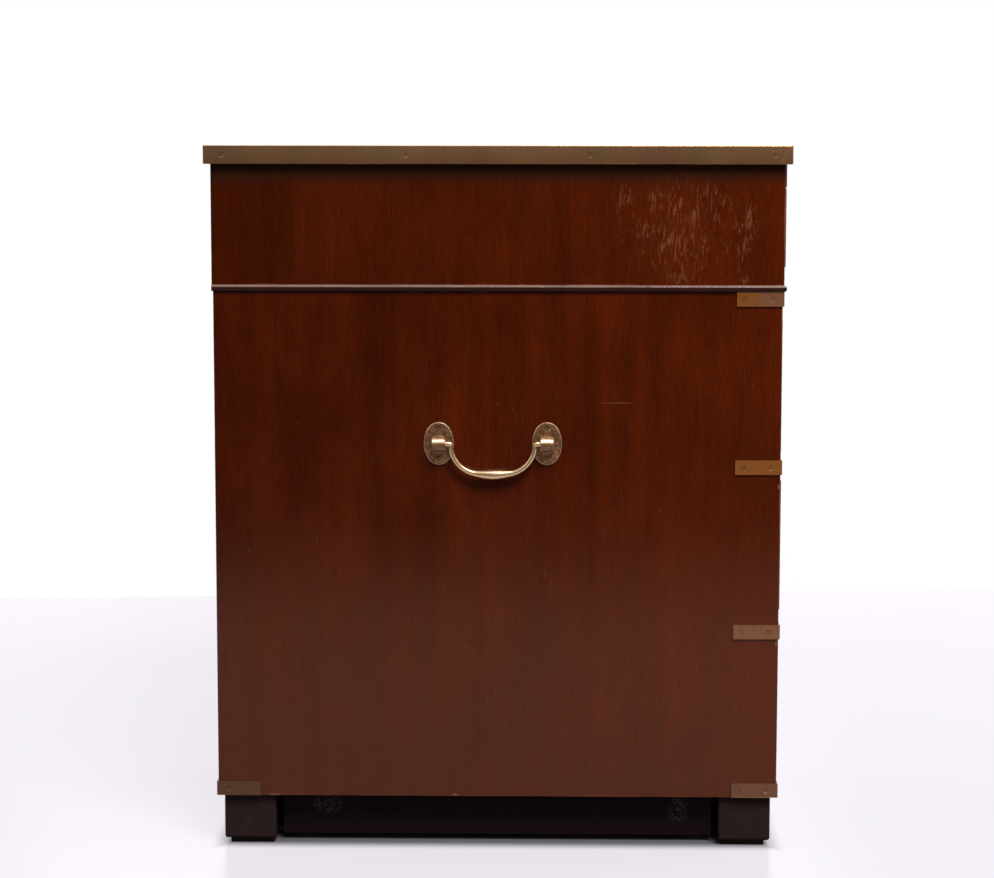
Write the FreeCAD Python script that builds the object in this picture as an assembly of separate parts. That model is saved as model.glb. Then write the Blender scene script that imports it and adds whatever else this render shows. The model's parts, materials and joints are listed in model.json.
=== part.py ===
"""Campaign desk in mahogany: a top section with three drawers, standing on two pedestals of three drawers.

Frame: millimetres, +Z up, origin on the floor under the middle of the desk. The drawers face -Y and the long
axis is X. Each named piece is written to parts/NODE.step as one or more closed solids.
"""

import FreeCAD
import Part

import math
import os

V = FreeCAD.Vector
UP = V(0, 0, 1)

# ---------------------------------------------------------------- driving sizes
# Cases
CASE_LENGTH = 1206.0         # top section, end to end
CASE_DEPTH = 611.0           # top section, front to back
PEDESTAL_WIDTH = 355.0
PEDESTAL_SETBACK = 1.3       # of the pedestals' outer faces, behind those of the top section
SIDE_THICKNESS = 18.0        # ends, pedestal sides and the uprights between drawers
BACK_THICKNESS = 10.0
RAIL_HEIGHT = 29.0           # level rails between a pedestal's drawers
RAIL_DEPTH = 60.0
BOARD_THICKNESS = 16.0       # dust boards behind the rails
HOUSING_DEPTH = 5.0          # how far a rail or board is let into the upright beside it
PANEL_EDGE_ROUND = 1.2       # softened long edges of the cases
OPENING_HEIGHTS = (145.0, 144.0, 145.0)   # drawer openings of a pedestal, lowest first
FRIEZE_HEIGHT = 128.0        # ends of the top section
FRIEZE_BASE_THICKNESS = 18.0
FRIEZE_RAIL_HEIGHT = 24.0    # rail over the top section's drawers
FRIEZE_RAIL_DEPTH = 20.0     # behind the face of the case
FRIEZE_PROUD = 3.0           # how far that rail and those drawers stand out of the case
LIP_THICKNESS = 7.0          # thin board under the top section, with a rounded edge
LIP_PROJECTION = 2.4
LIP_FLAT = 1.0               # left between the two roundings of its edge

# Top
TOP_THICKNESS = 19.5
TOP_OVERHANG = 7.0
EDGE_BRASS_THICKNESS = 1.5   # upright leg of the brass angle round the top
EDGE_BRASS_TOP_LEG = 8.0     # level leg, let into the board
EDGE_BRASS_TOP_THICKNESS = 1.2
EDGE_BRASS_CORNER_ROUND = 2.5
EDGE_BRASS_SOFTENING = 0.6
EDGE_SCREW_INSET = 19.5      # first and last screw, from the corner
END_EDGE_SCREWS = 4
LONG_EDGE_SCREWS = 7
LEATHER_BORDER = 72.0        # bare wood and brass round the writing panel
LEATHER_THICKNESS = 1.2

# Feet and plinth
FOOT_WIDTH = 56.5
FOOT_HEIGHT = 50.0
FOOT_INSET = 5.7             # outer faces of a foot, in from the case
FOOT_EDGE_ROUND = 3.0
SHOE_INSET = 6.2             # outer faces of the pad under a foot, in from the foot's
SHOE_THICKNESS = 6.0
PLINTH_INSET = 24.0          # outer faces of the plinth boards, in from the case
PLINTH_THICKNESS = 16.0
PLINTH_END_GAP = 6.5         # between a plinth board and the foot beside it
PLINTH_GROUND_GAP = 7.0

# Locating pegs between the two sections
PEG_DIAMETER = 10.0
PEG_DROP = 12.0              # below the top section
PEG_RISE = 14.0              # glued up into the top section
PEG_CLEARANCE = 0.4          # round a peg, in its hole
PEG_END_CLEARANCE = 1.0      # under a peg
PEG_INSET_X = 60.0           # from a pedestal's sides
PEG_INSET_Y = 70.0           # from the front and back of the case

# Screws, all countersunk with one slot
SCREW_HEAD = 5.0
SCREW_HEAD_DEPTH = 1.3
SCREW_SHANK = 2.4
SCREW_LENGTH = 10.0
SCREW_SLOT_WIDTH = 0.8
SCREW_SLOT_DEPTH = 0.6
SCREW_SINK = 0.2             # of the head's face, below the face it is screwed to
PILOT_CLEARANCE = 0.15       # round the head and the shank

# Brass corner straps
STRAP_LEG = 49.0
BACK_STRAP_LEG = 46.5
STRAP_HEIGHT = 15.5
STRAP_THICKNESS = 1.6
STRAP_RISES = (0.0, 1.0, 7.0, 13.5)   # lower edge of each strap over its rail's, lowest first
STRAP_SCREWS = (11.0, 41.0)  # from the corner, along each leg
STRAP_BEND_RADIUS = 1.3      # rounding of the outer corner

# Drawers
FRONT_THICKNESS = 18.0
FRONT_GAP = 1.0              # round a drawer front
FRONTS_PROUD = (2.0, 2.8, 2.2)   # how far a pedestal's fronts stand out of it, lowest first
FRONT_EDGE_ROUND = 1.0
DRAWER_SIDE_THICKNESS = 10.0
DRAWER_SIDE_GAP = 0.8        # beside the drawer
DRAWER_RUN_GAP = 0.3         # under the drawer's sides
DRAWER_HEAD_GAP = 4.0        # above the drawer's sides
DRAWER_REAR_GAP = 12.0       # behind the closed drawer
DRAWER_BOTTOM_THICKNESS = 5.0
DRAWER_BOTTOM_RAISE = 10.0   # of the bottom's groove, from the lower edge of the sides
DRAWER_GROOVE = 5.0
DRAWER_BACK_DROP = 6.0       # of the back's top edge, below the sides
DOVETAIL_LAP = 12.0          # of the sides, into the front
DOVETAIL_PITCH = 36.0        # largest distance between tails
DOVETAIL_NECK = 0.5          # share of the pitch that is tail, at its narrow root
DOVETAIL_SLOPE = 1.0 / 7.0

# Flush pulls: a bail that hangs in a dish, sunk in a cast plate
BAIL_ROD = 5.0
BAIL_SPAN = 62.0             # between the middles of its arms
BAIL_SIDE_ROOM = 2.5         # from an arm to the end of the dish
DISH_WIDTH = BAIL_SPAN + BAIL_ROD + 2 * BAIL_SIDE_ROOM
DISH_HEIGHT = 30.0
DISH_DEPTH = 10.0
PULL_RIM = 10.0              # plate beyond each end of the dish
PULL_WIDTH = DISH_WIDTH + 2 * PULL_RIM
PULL_HEIGHT = 44.0
PULL_THICKNESS = 2.0
PULL_CORNER_ROUND = 4.0
DISH_WALL = 2.0
DISH_CORNER_ROUND = 6.0
DISH_POCKET_CLEARANCE = 0.3
PULL_SCREW_INSET_X = 4.5     # from the plate's edges
PULL_SCREW_INSET_Z = 6.0
BAIL_DROP = 17.0             # from the pins to the middle of the bar
BAIL_CORNER = 7.0            # bend, at the rod's middle
BAIL_PIN = 3.0
BAIL_PIN_CLEARANCE = 0.08
BAIL_PIN_RISE = 9.5          # pin axis above the plate's middle
BAIL_PIN_SINK = 3.4          # pin axis behind the plate's face
PULL_SPACING = 250.0         # two pulls on the wide drawer

# Carrying handles on the outer sides
HANDLE_HEIGHT = 443.0        # pin axis above the floor
HANDLE_POST_SPACING = 116.3
HANDLE_PLATE_WIDTH = 32.2
HANDLE_PLATE_HEIGHT = 46.0
HANDLE_PLATE_END_RADIUS = 13.6   # of the oval's upper and lower arcs
HANDLE_PLATE_THICKNESS = 2.2
HANDLE_PLATE_EDGE = 0.9
HANDLE_POST_LENGTH = 14.5
HANDLE_POST_DIAMETER = 16.5
HANDLE_POST_EDGE = 0.8
HANDLE_COLLAR = 18.2         # diameter of the low ring that a post stands on
HANDLE_COLLAR_RISE = 1.0     # of the ring, above the plate
HANDLE_PIN_REACH = 8.3       # pin axis, out from the side
HANDLE_PIN = 5.6
HANDLE_PIN_CLEARANCE = 0.08
HANDLE_PIN_DEPTH = 9.0       # pin inside its post
HANDLE_PIN_END_GAP = 0.5
HANDLE_SCREW_OFFSET = 16.5   # above and below the post
HANDLE_ARM_SPAN = 90.0       # between the middles of the arms
HANDLE_DROP = 33.0           # pin axis to the middle of the grip
HANDLE_SHOULDER = 31.0       # bend radius of a shoulder
HANDLE_SAG = 130.0           # bend radius of the grip
HANDLE_ROD = 5.2             # diameter of the arms
HANDLE_KNUCKLE = 6.4         # rounded end of an arm, where its pin starts
HANDLE_GRIP = 10.4           # thickest place
HANDLE_GRIP_LENGTH = 72.0    # along the swelling
HANDLE_SWELL_POWER = 2.6     # how sharply the grip swells
HANDLE_SECTION_COUNT = 41
HANDLE_SHIFT = 4.7           # towards the back, of the handle's middle

# ---------------------------------------------------------------- places worked out from the sizes
X_OUT = CASE_LENGTH / 2
Y_FRONT = -CASE_DEPTH / 2
Y_BACK = CASE_DEPTH / 2
PED_OUT = X_OUT - PEDESTAL_SETBACK
PED_FRONT = Y_FRONT + PEDESTAL_SETBACK
PED_BACK = Y_BACK - PEDESTAL_SETBACK
X_KNEE = PED_OUT - PEDESTAL_WIDTH
Z_CASE = SHOE_THICKNESS + FOOT_HEIGHT
Z_LIP = Z_CASE + sum(OPENING_HEIGHTS) + RAIL_HEIGHT * (len(OPENING_HEIGHTS) + 1)
Z_FRIEZE = Z_LIP + LIP_THICKNESS
Z_TOP = Z_FRIEZE + FRIEZE_HEIGHT
Z_SURFACE = Z_TOP + TOP_THICKNESS
SIDES = {"left": -1, "right": 1}
DRAWER_PLACES = ("lower", "middle", "upper")
SAME = 1e-6                  # two places closer than this are one


def rail_levels():
    """Underside of each level rail of a pedestal, lowest first."""
    levels = [Z_CASE]
    for height in OPENING_HEIGHTS:
        levels.append(levels[-1] + RAIL_HEIGHT + height)
    return levels


# ---------------------------------------------------------------- shapes used more than once
def box(x, y, z):
    """A box from three (low, high) pairs, given in either order."""
    lows = [min(pair) for pair in (x, y, z)]
    spans = [max(pair) - min(pair) for pair in (x, y, z)]
    return Part.makeBox(*spans, V(*lows))


def same(a, b):
    """Whether two places along one axis are one place."""
    return abs(a - b) < SAME


def edges_along(shape, axis):
    """Straight edges of a shape that run along one axis: 0, 1 or 2 for X, Y or Z."""
    found = []
    for edge in shape.Edges:
        span = edge.Vertexes[-1].Point - edge.Vertexes[0].Point
        if span.Length > SAME and same(abs(span[axis]), span.Length):
            found.append(edge)
    return found


def upright_plate(centre_x, centre_z, width, height, corner, y0, y1):
    """A plate in the XZ plane with rounded corners, between two depths."""
    plate = box(
        (centre_x - width / 2, centre_x + width / 2),
        (y0, y1),
        (centre_z - height / 2, centre_z + height / 2),
    )
    return plate.makeFillet(corner, edges_along(plate, 1))


def prism(points, run):
    """A straight-sided outline carried along a vector."""
    return Part.Face(Part.makePolygon(points + points[:1])).extrude(run)


def softened(shape, radius, keep):
    """Rounds the edges whose middle passes the test."""
    chosen = [e for e in shape.Edges if keep(e.CenterOfMass)]
    return shape.makeFillet(radius, chosen)


def placed(shape, point, direction):
    """A copy of a shape that was made along +Z, moved to a point and turned to a direction."""
    copy = shape.copy()
    copy.Placement = FreeCAD.Placement(point, FreeCAD.Rotation(UP, direction))
    return copy


def screw_body(clearance):
    """A countersunk screw with no slot, or the room for one, pointing up from a face at the origin."""
    head_radius, shank_radius = SCREW_HEAD / 2 + clearance, SCREW_SHANK / 2 + clearance
    head = Part.makeCone(head_radius, shank_radius, SCREW_HEAD_DEPTH, UP * SCREW_SINK)
    neck = SCREW_SINK + SCREW_HEAD_DEPTH
    shank = Part.makeCylinder(shank_radius, SCREW_LENGTH + clearance - neck, UP * neck)
    return head.fuse(shank).removeSplitter()


def make_screw():
    """A slotted countersunk screw, its head a little below the face at the origin."""
    half = SCREW_SLOT_WIDTH / 2
    slot = box((-SCREW_HEAD, SCREW_HEAD), (-half, half), (SCREW_SINK, SCREW_SINK + SCREW_SLOT_DEPTH))
    return screw_body(0.0).cut(slot)


def make_screw_hole():
    """The countersunk hole for such a screw."""
    mouth = Part.makeCylinder(SCREW_HEAD / 2 + PILOT_CLEARANCE, SCREW_SINK)
    return screw_body(PILOT_CLEARANCE).fuse(mouth).removeSplitter()


SCREW = make_screw()
SCREW_HOLE = make_screw_hole()


def screws_and_holes(seats):
    """Screws, and the holes that take them, for a list of (point, direction) seats."""
    return [placed(SCREW, p, d) for p, d in seats], [placed(SCREW_HOLE, p, d) for p, d in seats]


def evenly(low, high, count):
    """Values spaced evenly from low to high, both included."""
    return [low + (high - low) * k / (count - 1) for k in range(count)]


# ---------------------------------------------------------------- top section
def make_edge_brass():
    """Four mitred brass angles round the top, with their screws, and the holes that the screws need."""
    outer_x, outer_y = X_OUT + TOP_OVERHANG, -Y_FRONT + TOP_OVERHANG
    ring = box((-outer_x, outer_x), (-outer_y, outer_y), (Z_TOP, Z_SURFACE))
    ring = ring.makeFillet(EDGE_BRASS_CORNER_ROUND, edges_along(ring, 2))
    ring = softened(ring, EDGE_BRASS_SOFTENING, lambda c: same(c.z, Z_TOP) or same(c.z, Z_SURFACE))
    core_x, core_y = outer_x - EDGE_BRASS_THICKNESS, outer_y - EDGE_BRASS_THICKNESS
    ring = ring.cut(box((-core_x, core_x), (-core_y, core_y), (Z_TOP, Z_SURFACE - EDGE_BRASS_TOP_THICKNESS)))
    inner_x, inner_y = outer_x - EDGE_BRASS_TOP_LEG, outer_y - EDGE_BRASS_TOP_LEG
    ring = ring.cut(box((-inner_x, inner_x), (-inner_y, inner_y), (Z_TOP, Z_SURFACE)))

    outer = [V(sx * outer_x, sy * outer_y, Z_TOP) for sx, sy in ((-1, -1), (1, -1), (1, 1), (-1, 1))]
    inner = [V(sx * inner_x, sy * inner_y, Z_TOP) for sx, sy in ((-1, -1), (1, -1), (1, 1), (-1, 1))]
    angles = []
    for k in range(4):
        following = (k + 1) % 4
        sector = prism([outer[k], outer[following], inner[following], inner[k]], UP * TOP_THICKNESS)
        angles.append(ring.common(sector))

    middle = Z_TOP + TOP_THICKNESS / 2
    seats = []
    for side in (-1, 1):
        for x in evenly(-outer_x + EDGE_SCREW_INSET, outer_x - EDGE_SCREW_INSET, LONG_EDGE_SCREWS):
            seats.append((V(x, side * outer_y, middle), V(0, -side, 0)))
        for y in evenly(-outer_y + EDGE_SCREW_INSET, outer_y - EDGE_SCREW_INSET, END_EDGE_SCREWS):
            seats.append((V(side * outer_x, y, middle), V(-side, 0, 0)))
    screws, holes = screws_and_holes(seats)
    return [angle.cut(holes) for angle in angles], screws, holes


def make_top():
    """The top board, the writing panel let into it, and the brass round it."""
    angles, screws, holes = make_edge_brass()
    half_x = X_OUT + TOP_OVERHANG - EDGE_BRASS_THICKNESS
    half_y = -Y_FRONT + TOP_OVERHANG - EDGE_BRASS_THICKNESS
    board = box((-half_x, half_x), (-half_y, half_y), (Z_TOP, Z_SURFACE))
    panel_x = X_OUT + TOP_OVERHANG - LEATHER_BORDER
    panel_y = -Y_FRONT + TOP_OVERHANG - LEATHER_BORDER
    leather = box((-panel_x, panel_x), (-panel_y, panel_y), (Z_SURFACE - LEATHER_THICKNESS, Z_SURFACE))
    board = board.cut(angles + holes + [leather])
    return {"top_board": [board], "writing_panel": [leather], "top_edge_brass": angles + screws}


def peg_places():
    """Where the pegs stand, over both pedestals."""
    places = []
    for side in SIDES.values():
        for x in (PED_OUT - PEG_INSET_X, X_KNEE + PEG_INSET_X):
            for y in (Y_FRONT + PEG_INSET_Y, Y_BACK - PEG_INSET_Y):
                places.append((side * x, y))
    return places


def make_frieze():
    """The case of the top section: ends, back, base, uprights, the lip board below and the locating pegs."""
    z_opening = Z_FRIEZE + FRIEZE_BASE_THICKNESS
    inner_x = X_OUT - SIDE_THICKNESS
    base = box((-inner_x - HOUSING_DEPTH, inner_x + HOUSING_DEPTH), (Y_FRONT, Y_BACK), (Z_FRIEZE, z_opening))
    ends = []
    for side in SIDES.values():
        end = box((side * inner_x, side * X_OUT), (Y_FRONT, Y_BACK), (Z_FRIEZE, Z_TOP))
        outer_edges = [e for e in edges_along(end, 2) if same(e.CenterOfMass.x, side * X_OUT)]
        ends.append(end.makeFillet(PANEL_EDGE_ROUND, outer_edges).cut(base))
    back = box((-inner_x, inner_x), (Y_BACK - BACK_THICKNESS, Y_BACK), (z_opening, Z_TOP))
    rail = box(
        (-inner_x, inner_x),
        (Y_FRONT - FRIEZE_PROUD, Y_FRONT + FRIEZE_RAIL_DEPTH),
        (Z_TOP - FRIEZE_RAIL_HEIGHT, Z_TOP),
    )
    framing = [rail]
    for side in SIDES.values():
        xs = (side * X_KNEE, side * (X_KNEE + SIDE_THICKNESS))
        framing.append(box(xs, (Y_FRONT, Y_BACK - BACK_THICKNESS), (z_opening, Z_TOP)).cut(rail))

    lip_x = X_OUT + LIP_PROJECTION
    lip = box((-lip_x, lip_x), (Y_FRONT - LIP_PROJECTION, Y_BACK), (Z_LIP, Z_FRIEZE))
    nose = (LIP_THICKNESS - LIP_FLAT) / 2
    lip = softened(lip, nose, lambda c: (same(c.z, Z_LIP) or same(c.z, Z_FRIEZE)) and not same(c.y, Y_BACK))

    peg = Part.makeCylinder(PEG_DIAMETER / 2, PEG_DROP + PEG_RISE)
    pegs = [placed(peg, V(x, y, Z_LIP - PEG_DROP), UP) for x, y in peg_places()]
    return {
        "frieze_ends": ends,
        "frieze_back": [back],
        "frieze_base": [base.cut(pegs)],
        "frieze_framing": framing,
        "base_lip": [lip.cut(pegs)],
        "locating_pegs": pegs,
    }


# ---------------------------------------------------------------- pedestals
def strap_at(x_corner, x_way, y_corner, y_way, z_low, leg):
    """A brass angle on an upright corner. x_way and y_way point from the corner into the case."""
    z = (z_low, z_low + STRAP_HEIGHT)
    z_middle = z_low + STRAP_HEIGHT / 2
    x_skin, y_skin = x_corner - x_way * STRAP_THICKNESS, y_corner - y_way * STRAP_THICKNESS
    along_side = box((x_skin, x_corner), (y_skin, y_corner + y_way * leg), z)
    along_face = box((x_skin, x_corner + x_way * leg), (y_skin, y_corner), z)
    seats = []
    for reach in STRAP_SCREWS:
        seats.append((V(x_skin, y_corner + y_way * reach, z_middle), V(x_way, 0, 0)))
        seats.append((V(x_corner + x_way * reach, y_skin, z_middle), V(0, y_way, 0)))
    strap = along_side.fuse(along_face).removeSplitter()
    strap = softened(strap, STRAP_BEND_RADIUS, lambda c: same(c.x, x_skin) and same(c.y, y_skin))
    return strap, seats


def make_straps(x_outer, x_inner):
    """Straps at every level rail on the front corners, and at the lowest rail on the back corners."""
    inward = 1 if x_inner > x_outer else -1
    straps, seats = [], []
    for x_corner, x_way in ((x_outer, inward), (x_inner, -inward)):
        places = [(PED_FRONT, 1, level + rise, STRAP_LEG) for level, rise in zip(rail_levels(), STRAP_RISES)]
        places.append((PED_BACK, -1, Z_CASE + STRAP_RISES[0], BACK_STRAP_LEG))
        for y_corner, y_way, z_low, leg in places:
            strap, found = strap_at(x_corner, x_way, y_corner, y_way, z_low, leg)
            straps.append(strap)
            seats += found
    screws, holes = screws_and_holes(seats)
    return [strap.cut(holes) for strap in straps], screws, holes


def make_base(x_low, x_high):
    """Four block feet on pads, and the plinth boards that stand back between them."""
    pieces = []
    for x, x_way in ((x_low, 1), (x_high, -1)):
        for y, y_way in ((PED_FRONT, 1), (PED_BACK, -1)):
            xs, ys = [
                (corner + way * FOOT_INSET, corner + way * (FOOT_INSET + FOOT_WIDTH))
                for corner, way in ((x, x_way), (y, y_way))
            ]
            foot = box(xs, ys, (SHOE_THICKNESS, Z_CASE))
            pieces.append(softened(foot, FOOT_EDGE_ROUND, lambda c: c.z < Z_CASE - SAME))
            shoe_xs = (xs[0] + x_way * SHOE_INSET, xs[1] - x_way * FOOT_EDGE_ROUND)
            shoe_ys = (ys[0] + y_way * SHOE_INSET, ys[1] - y_way * FOOT_EDGE_ROUND)
            pieces.append(box(shoe_xs, shoe_ys, (0, SHOE_THICKNESS)))
    past_foot = FOOT_INSET + FOOT_WIDTH + PLINTH_END_GAP
    z = (PLINTH_GROUND_GAP, Z_CASE)
    near, far = PLINTH_INSET, PLINTH_INSET + PLINTH_THICKNESS
    for y, way in ((PED_FRONT, 1), (PED_BACK, -1)):
        pieces.append(box((x_low + past_foot, x_high - past_foot), (y + way * near, y + way * far), z))
    for x, way in ((x_low, 1), (x_high, -1)):
        pieces.append(box((x + way * near, x + way * far), (PED_FRONT + past_foot, PED_BACK - past_foot), z))
    return pieces


def make_rails_and_boards(housed):
    """The rails between the drawers and the dust boards behind them. The lowest board is solid and thick."""
    y_back = PED_BACK - BACK_THICKNESS
    levels = rail_levels()
    pieces = [box(housed, (PED_FRONT, y_back), (levels[0], levels[0] + RAIL_HEIGHT))]
    for level in levels[1:]:
        top = level + RAIL_HEIGHT
        pieces.append(box(housed, (PED_FRONT, PED_FRONT + RAIL_DEPTH), (level, top)))
        pieces.append(box(housed, (PED_FRONT + RAIL_DEPTH, y_back), (top - BOARD_THICKNESS, top)))
    return pieces


def make_pedestal(name):
    """One pedestal: its case, feet, straps, and the handle on its outer side."""
    side = SIDES[name]
    x_outer, x_inner = side * PED_OUT, side * X_KNEE
    x_low, x_high = min(x_outer, x_inner), max(x_outer, x_inner)
    room = (x_low + SIDE_THICKNESS, x_high - SIDE_THICKNESS)
    housed = (room[0] - HOUSING_DEPTH, room[1] + HOUSING_DEPTH)
    straps, strap_screws, strap_holes = make_straps(x_outer, x_inner)
    plates, plate_screws, plate_holes = make_handle_plates(side)

    boards = make_rails_and_boards(housed)
    back = box(room, (PED_BACK - BACK_THICKNESS, PED_BACK), (Z_CASE, Z_LIP)).cut(strap_holes)
    panels = []
    for xs, x_face in (((x_low, room[0]), x_low), ((room[1], x_high), x_high)):
        panel = box(xs, (PED_FRONT, PED_BACK), (Z_CASE, Z_LIP))
        panel = softened(panel, PANEL_EDGE_ROUND, lambda c: same(c.x, x_face) and c.z > Z_CASE + SAME)
        panels.append(panel.cut(boards + strap_holes + plate_holes))

    depth = PEG_DROP + PEG_END_CLEARANCE
    peg_holes = [
        Part.makeCylinder(PEG_DIAMETER / 2 + PEG_CLEARANCE, depth, V(x, y, Z_LIP - depth))
        for x, y in peg_places()
        if x * side > 0
    ]
    case = f"{name}_pedestal"
    return {
        f"{case}_sides": panels,
        f"{case}_back": [back],
        f"{case}_boards": [board.cut(strap_holes + peg_holes) for board in boards],
        f"{case}_feet": make_base(x_low, x_high),
        f"{case}_straps": straps + strap_screws,
        f"{name}_handle_plates": plates + plate_screws,
        f"{name}_handle_bail": [placed(make_handle_bail(), handle_pivot(side), UP)],
    }


# ---------------------------------------------------------------- carrying handles
def handle_pivot(side):
    """The middle of a carrying handle's pin axis."""
    return V(side * (PED_OUT + HANDLE_PIN_REACH), HANDLE_SHIFT, HANDLE_HEIGHT)


def oval_face(centre, half_width, half_height, end_radius):
    """An upright oval in the YZ plane, of four arcs that are tangent where they meet."""
    rise = half_height - end_radius
    flank_radius = (half_width ** 2 + rise ** 2 - end_radius ** 2) / (2 * (half_width - end_radius))
    reach = end_radius / (flank_radius - end_radius)
    join_y, join_z = (flank_radius - half_width) * reach, rise * (1 + reach)
    joins = [(join_y, join_z), (-join_y, join_z), (-join_y, -join_z), (join_y, -join_z)]
    crowns = [(0, half_height), (-half_width, 0), (0, -half_height), (half_width, 0)]
    arcs = []
    for k in range(4):
        ends_and_crown = (joins[k], crowns[k], joins[(k + 1) % 4])
        arcs.append(Part.Arc(*[centre + V(0, y, z) for y, z in ends_and_crown]).toShape())
    return Part.Face(Part.Wire(arcs))


def make_handle_plates(side):
    """Two oval plates on a pedestal's outer side, each with a round post bored for the bail."""
    x_face, inward = side * PED_OUT, -side
    outward = V(side, 0, 0)
    pin_x = handle_pivot(side).x
    plates, seats = [], []
    for way in (-1, 1):
        y = HANDLE_SHIFT + way * HANDLE_POST_SPACING / 2
        centre = V(x_face, y, HANDLE_HEIGHT)
        oval = oval_face(centre, HANDLE_PLATE_WIDTH / 2, HANDLE_PLATE_HEIGHT / 2, HANDLE_PLATE_END_RADIUS)
        plate = oval.extrude(outward * HANDLE_PLATE_THICKNESS)
        x_skin = x_face - inward * HANDLE_PLATE_THICKNESS
        rim = [e for e in plate.Edges if same(e.CenterOfMass.x, x_skin)]
        plate = plate.makeChamfer(HANDLE_PLATE_EDGE, rim)
        ys = (y - HANDLE_POST_LENGTH / 2, y + HANDLE_POST_LENGTH / 2)
        neck = Part.makeCylinder(HANDLE_POST_LENGTH / 2, abs(pin_x - x_face), centre, outward)
        collar_top = HANDLE_PLATE_THICKNESS + HANDLE_COLLAR_RISE
        collar = Part.makeCylinder(HANDLE_COLLAR / 2, collar_top, centre, outward)
        collar = softened(collar, 0.6 * HANDLE_COLLAR_RISE, lambda c: same(abs(c.x), abs(x_face) + collar_top))
        post = Part.makeCylinder(
            HANDLE_POST_DIAMETER / 2, HANDLE_POST_LENGTH, V(pin_x, ys[0], HANDLE_HEIGHT), V(0, 1, 0)
        )
        rims = [e for e in post.Edges if e.isClosed()]
        post = post.makeChamfer(HANDLE_POST_EDGE, rims)
        mouth = ys[0] if way > 0 else ys[1]
        bore = Part.makeCylinder(
            HANDLE_PIN / 2 + HANDLE_PIN_CLEARANCE,
            HANDLE_PIN_DEPTH + HANDLE_PIN_END_GAP,
            V(pin_x, mouth, HANDLE_HEIGHT),
            V(0, way, 0),
        )
        plates.append(plate.fuse([collar, neck, post]).removeSplitter().cut(bore))
        for rise in (-HANDLE_SCREW_OFFSET, HANDLE_SCREW_OFFSET):
            seats.append((V(x_skin, y, HANDLE_HEIGHT + rise), V(inward, 0, 0)))
    screws, holes = screws_and_holes(seats)
    return [plate.cut(holes) for plate in plates], screws, holes


def handle_line(distance):
    """A point of the bail's middle line and its heading, at a distance from the middle of the grip.

    Half of the line is the grip's wide arc, a tighter arc for the shoulder, and a straight arm to the pin.
    The heading is the angle of travel above level, from the middle towards +Y.
    """
    half_span = HANDLE_ARM_SPAN / 2
    shoulder_y = half_span - HANDLE_SHOULDER
    sag_z = HANDLE_SAG - HANDLE_DROP
    turn = math.asin(shoulder_y / (HANDLE_SAG - HANDLE_SHOULDER))
    shoulder_z = sag_z - (HANDLE_SAG - HANDLE_SHOULDER) * math.cos(turn)
    grip = HANDLE_SAG * turn
    bend = HANDLE_SHOULDER * (math.pi / 2 - turn)
    if distance < grip:
        heading = distance / HANDLE_SAG
        return V(0, HANDLE_SAG * math.sin(heading), sag_z - HANDLE_SAG * math.cos(heading)), heading
    if distance < grip + bend:
        heading = turn + (distance - grip) / HANDLE_SHOULDER
        y = shoulder_y + HANDLE_SHOULDER * math.sin(heading)
        return V(0, y, shoulder_z - HANDLE_SHOULDER * math.cos(heading)), heading
    return V(0, half_span, shoulder_z + distance - grip - bend), math.pi / 2


def handle_half_length():
    """Length of the bail's middle line from the middle of the grip up to the pin."""
    shoulder_y = HANDLE_ARM_SPAN / 2 - HANDLE_SHOULDER
    turn = math.asin(shoulder_y / (HANDLE_SAG - HANDLE_SHOULDER))
    drop = HANDLE_DROP - HANDLE_SAG + (HANDLE_SAG - HANDLE_SHOULDER) * math.cos(turn)
    return HANDLE_SAG * turn + HANDLE_SHOULDER * (math.pi / 2 - turn) + drop


def make_handle_bail():
    """The bail, hanging from pins on the Y axis: straight arms, round shoulders, and a grip that swells."""
    half_length = handle_half_length()
    rings = []
    for distance in evenly(-half_length, half_length, HANDLE_SECTION_COUNT):
        way = -1 if distance < 0 else 1
        point, heading = handle_line(abs(distance))
        share = min(1.0, abs(distance) / (HANDLE_GRIP_LENGTH / 2))
        swell = (1 - share ** 2) ** HANDLE_SWELL_POWER
        radius = HANDLE_ROD / 2 + (HANDLE_GRIP - HANDLE_ROD) / 2 * swell
        run = V(0, math.cos(heading), way * math.sin(heading))
        rings.append(Part.Wire(Part.Circle(V(0, way * point.y, point.z), run, radius).toShape()))
    bail = Part.makeLoft(rings, True, False)
    pin_end = (HANDLE_POST_SPACING - HANDLE_POST_LENGTH) / 2 + HANDLE_PIN_DEPTH
    for way in (-1, 1):
        eye = V(0, way * HANDLE_ARM_SPAN / 2, 0)
        knuckle = Part.makeSphere(HANDLE_KNUCKLE / 2, eye)
        pin = Part.makeCylinder(HANDLE_PIN / 2, pin_end - HANDLE_ARM_SPAN / 2, eye, V(0, way, 0))
        bail = bail.fuse([knuckle, pin])
    return bail.removeSplitter()


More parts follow.
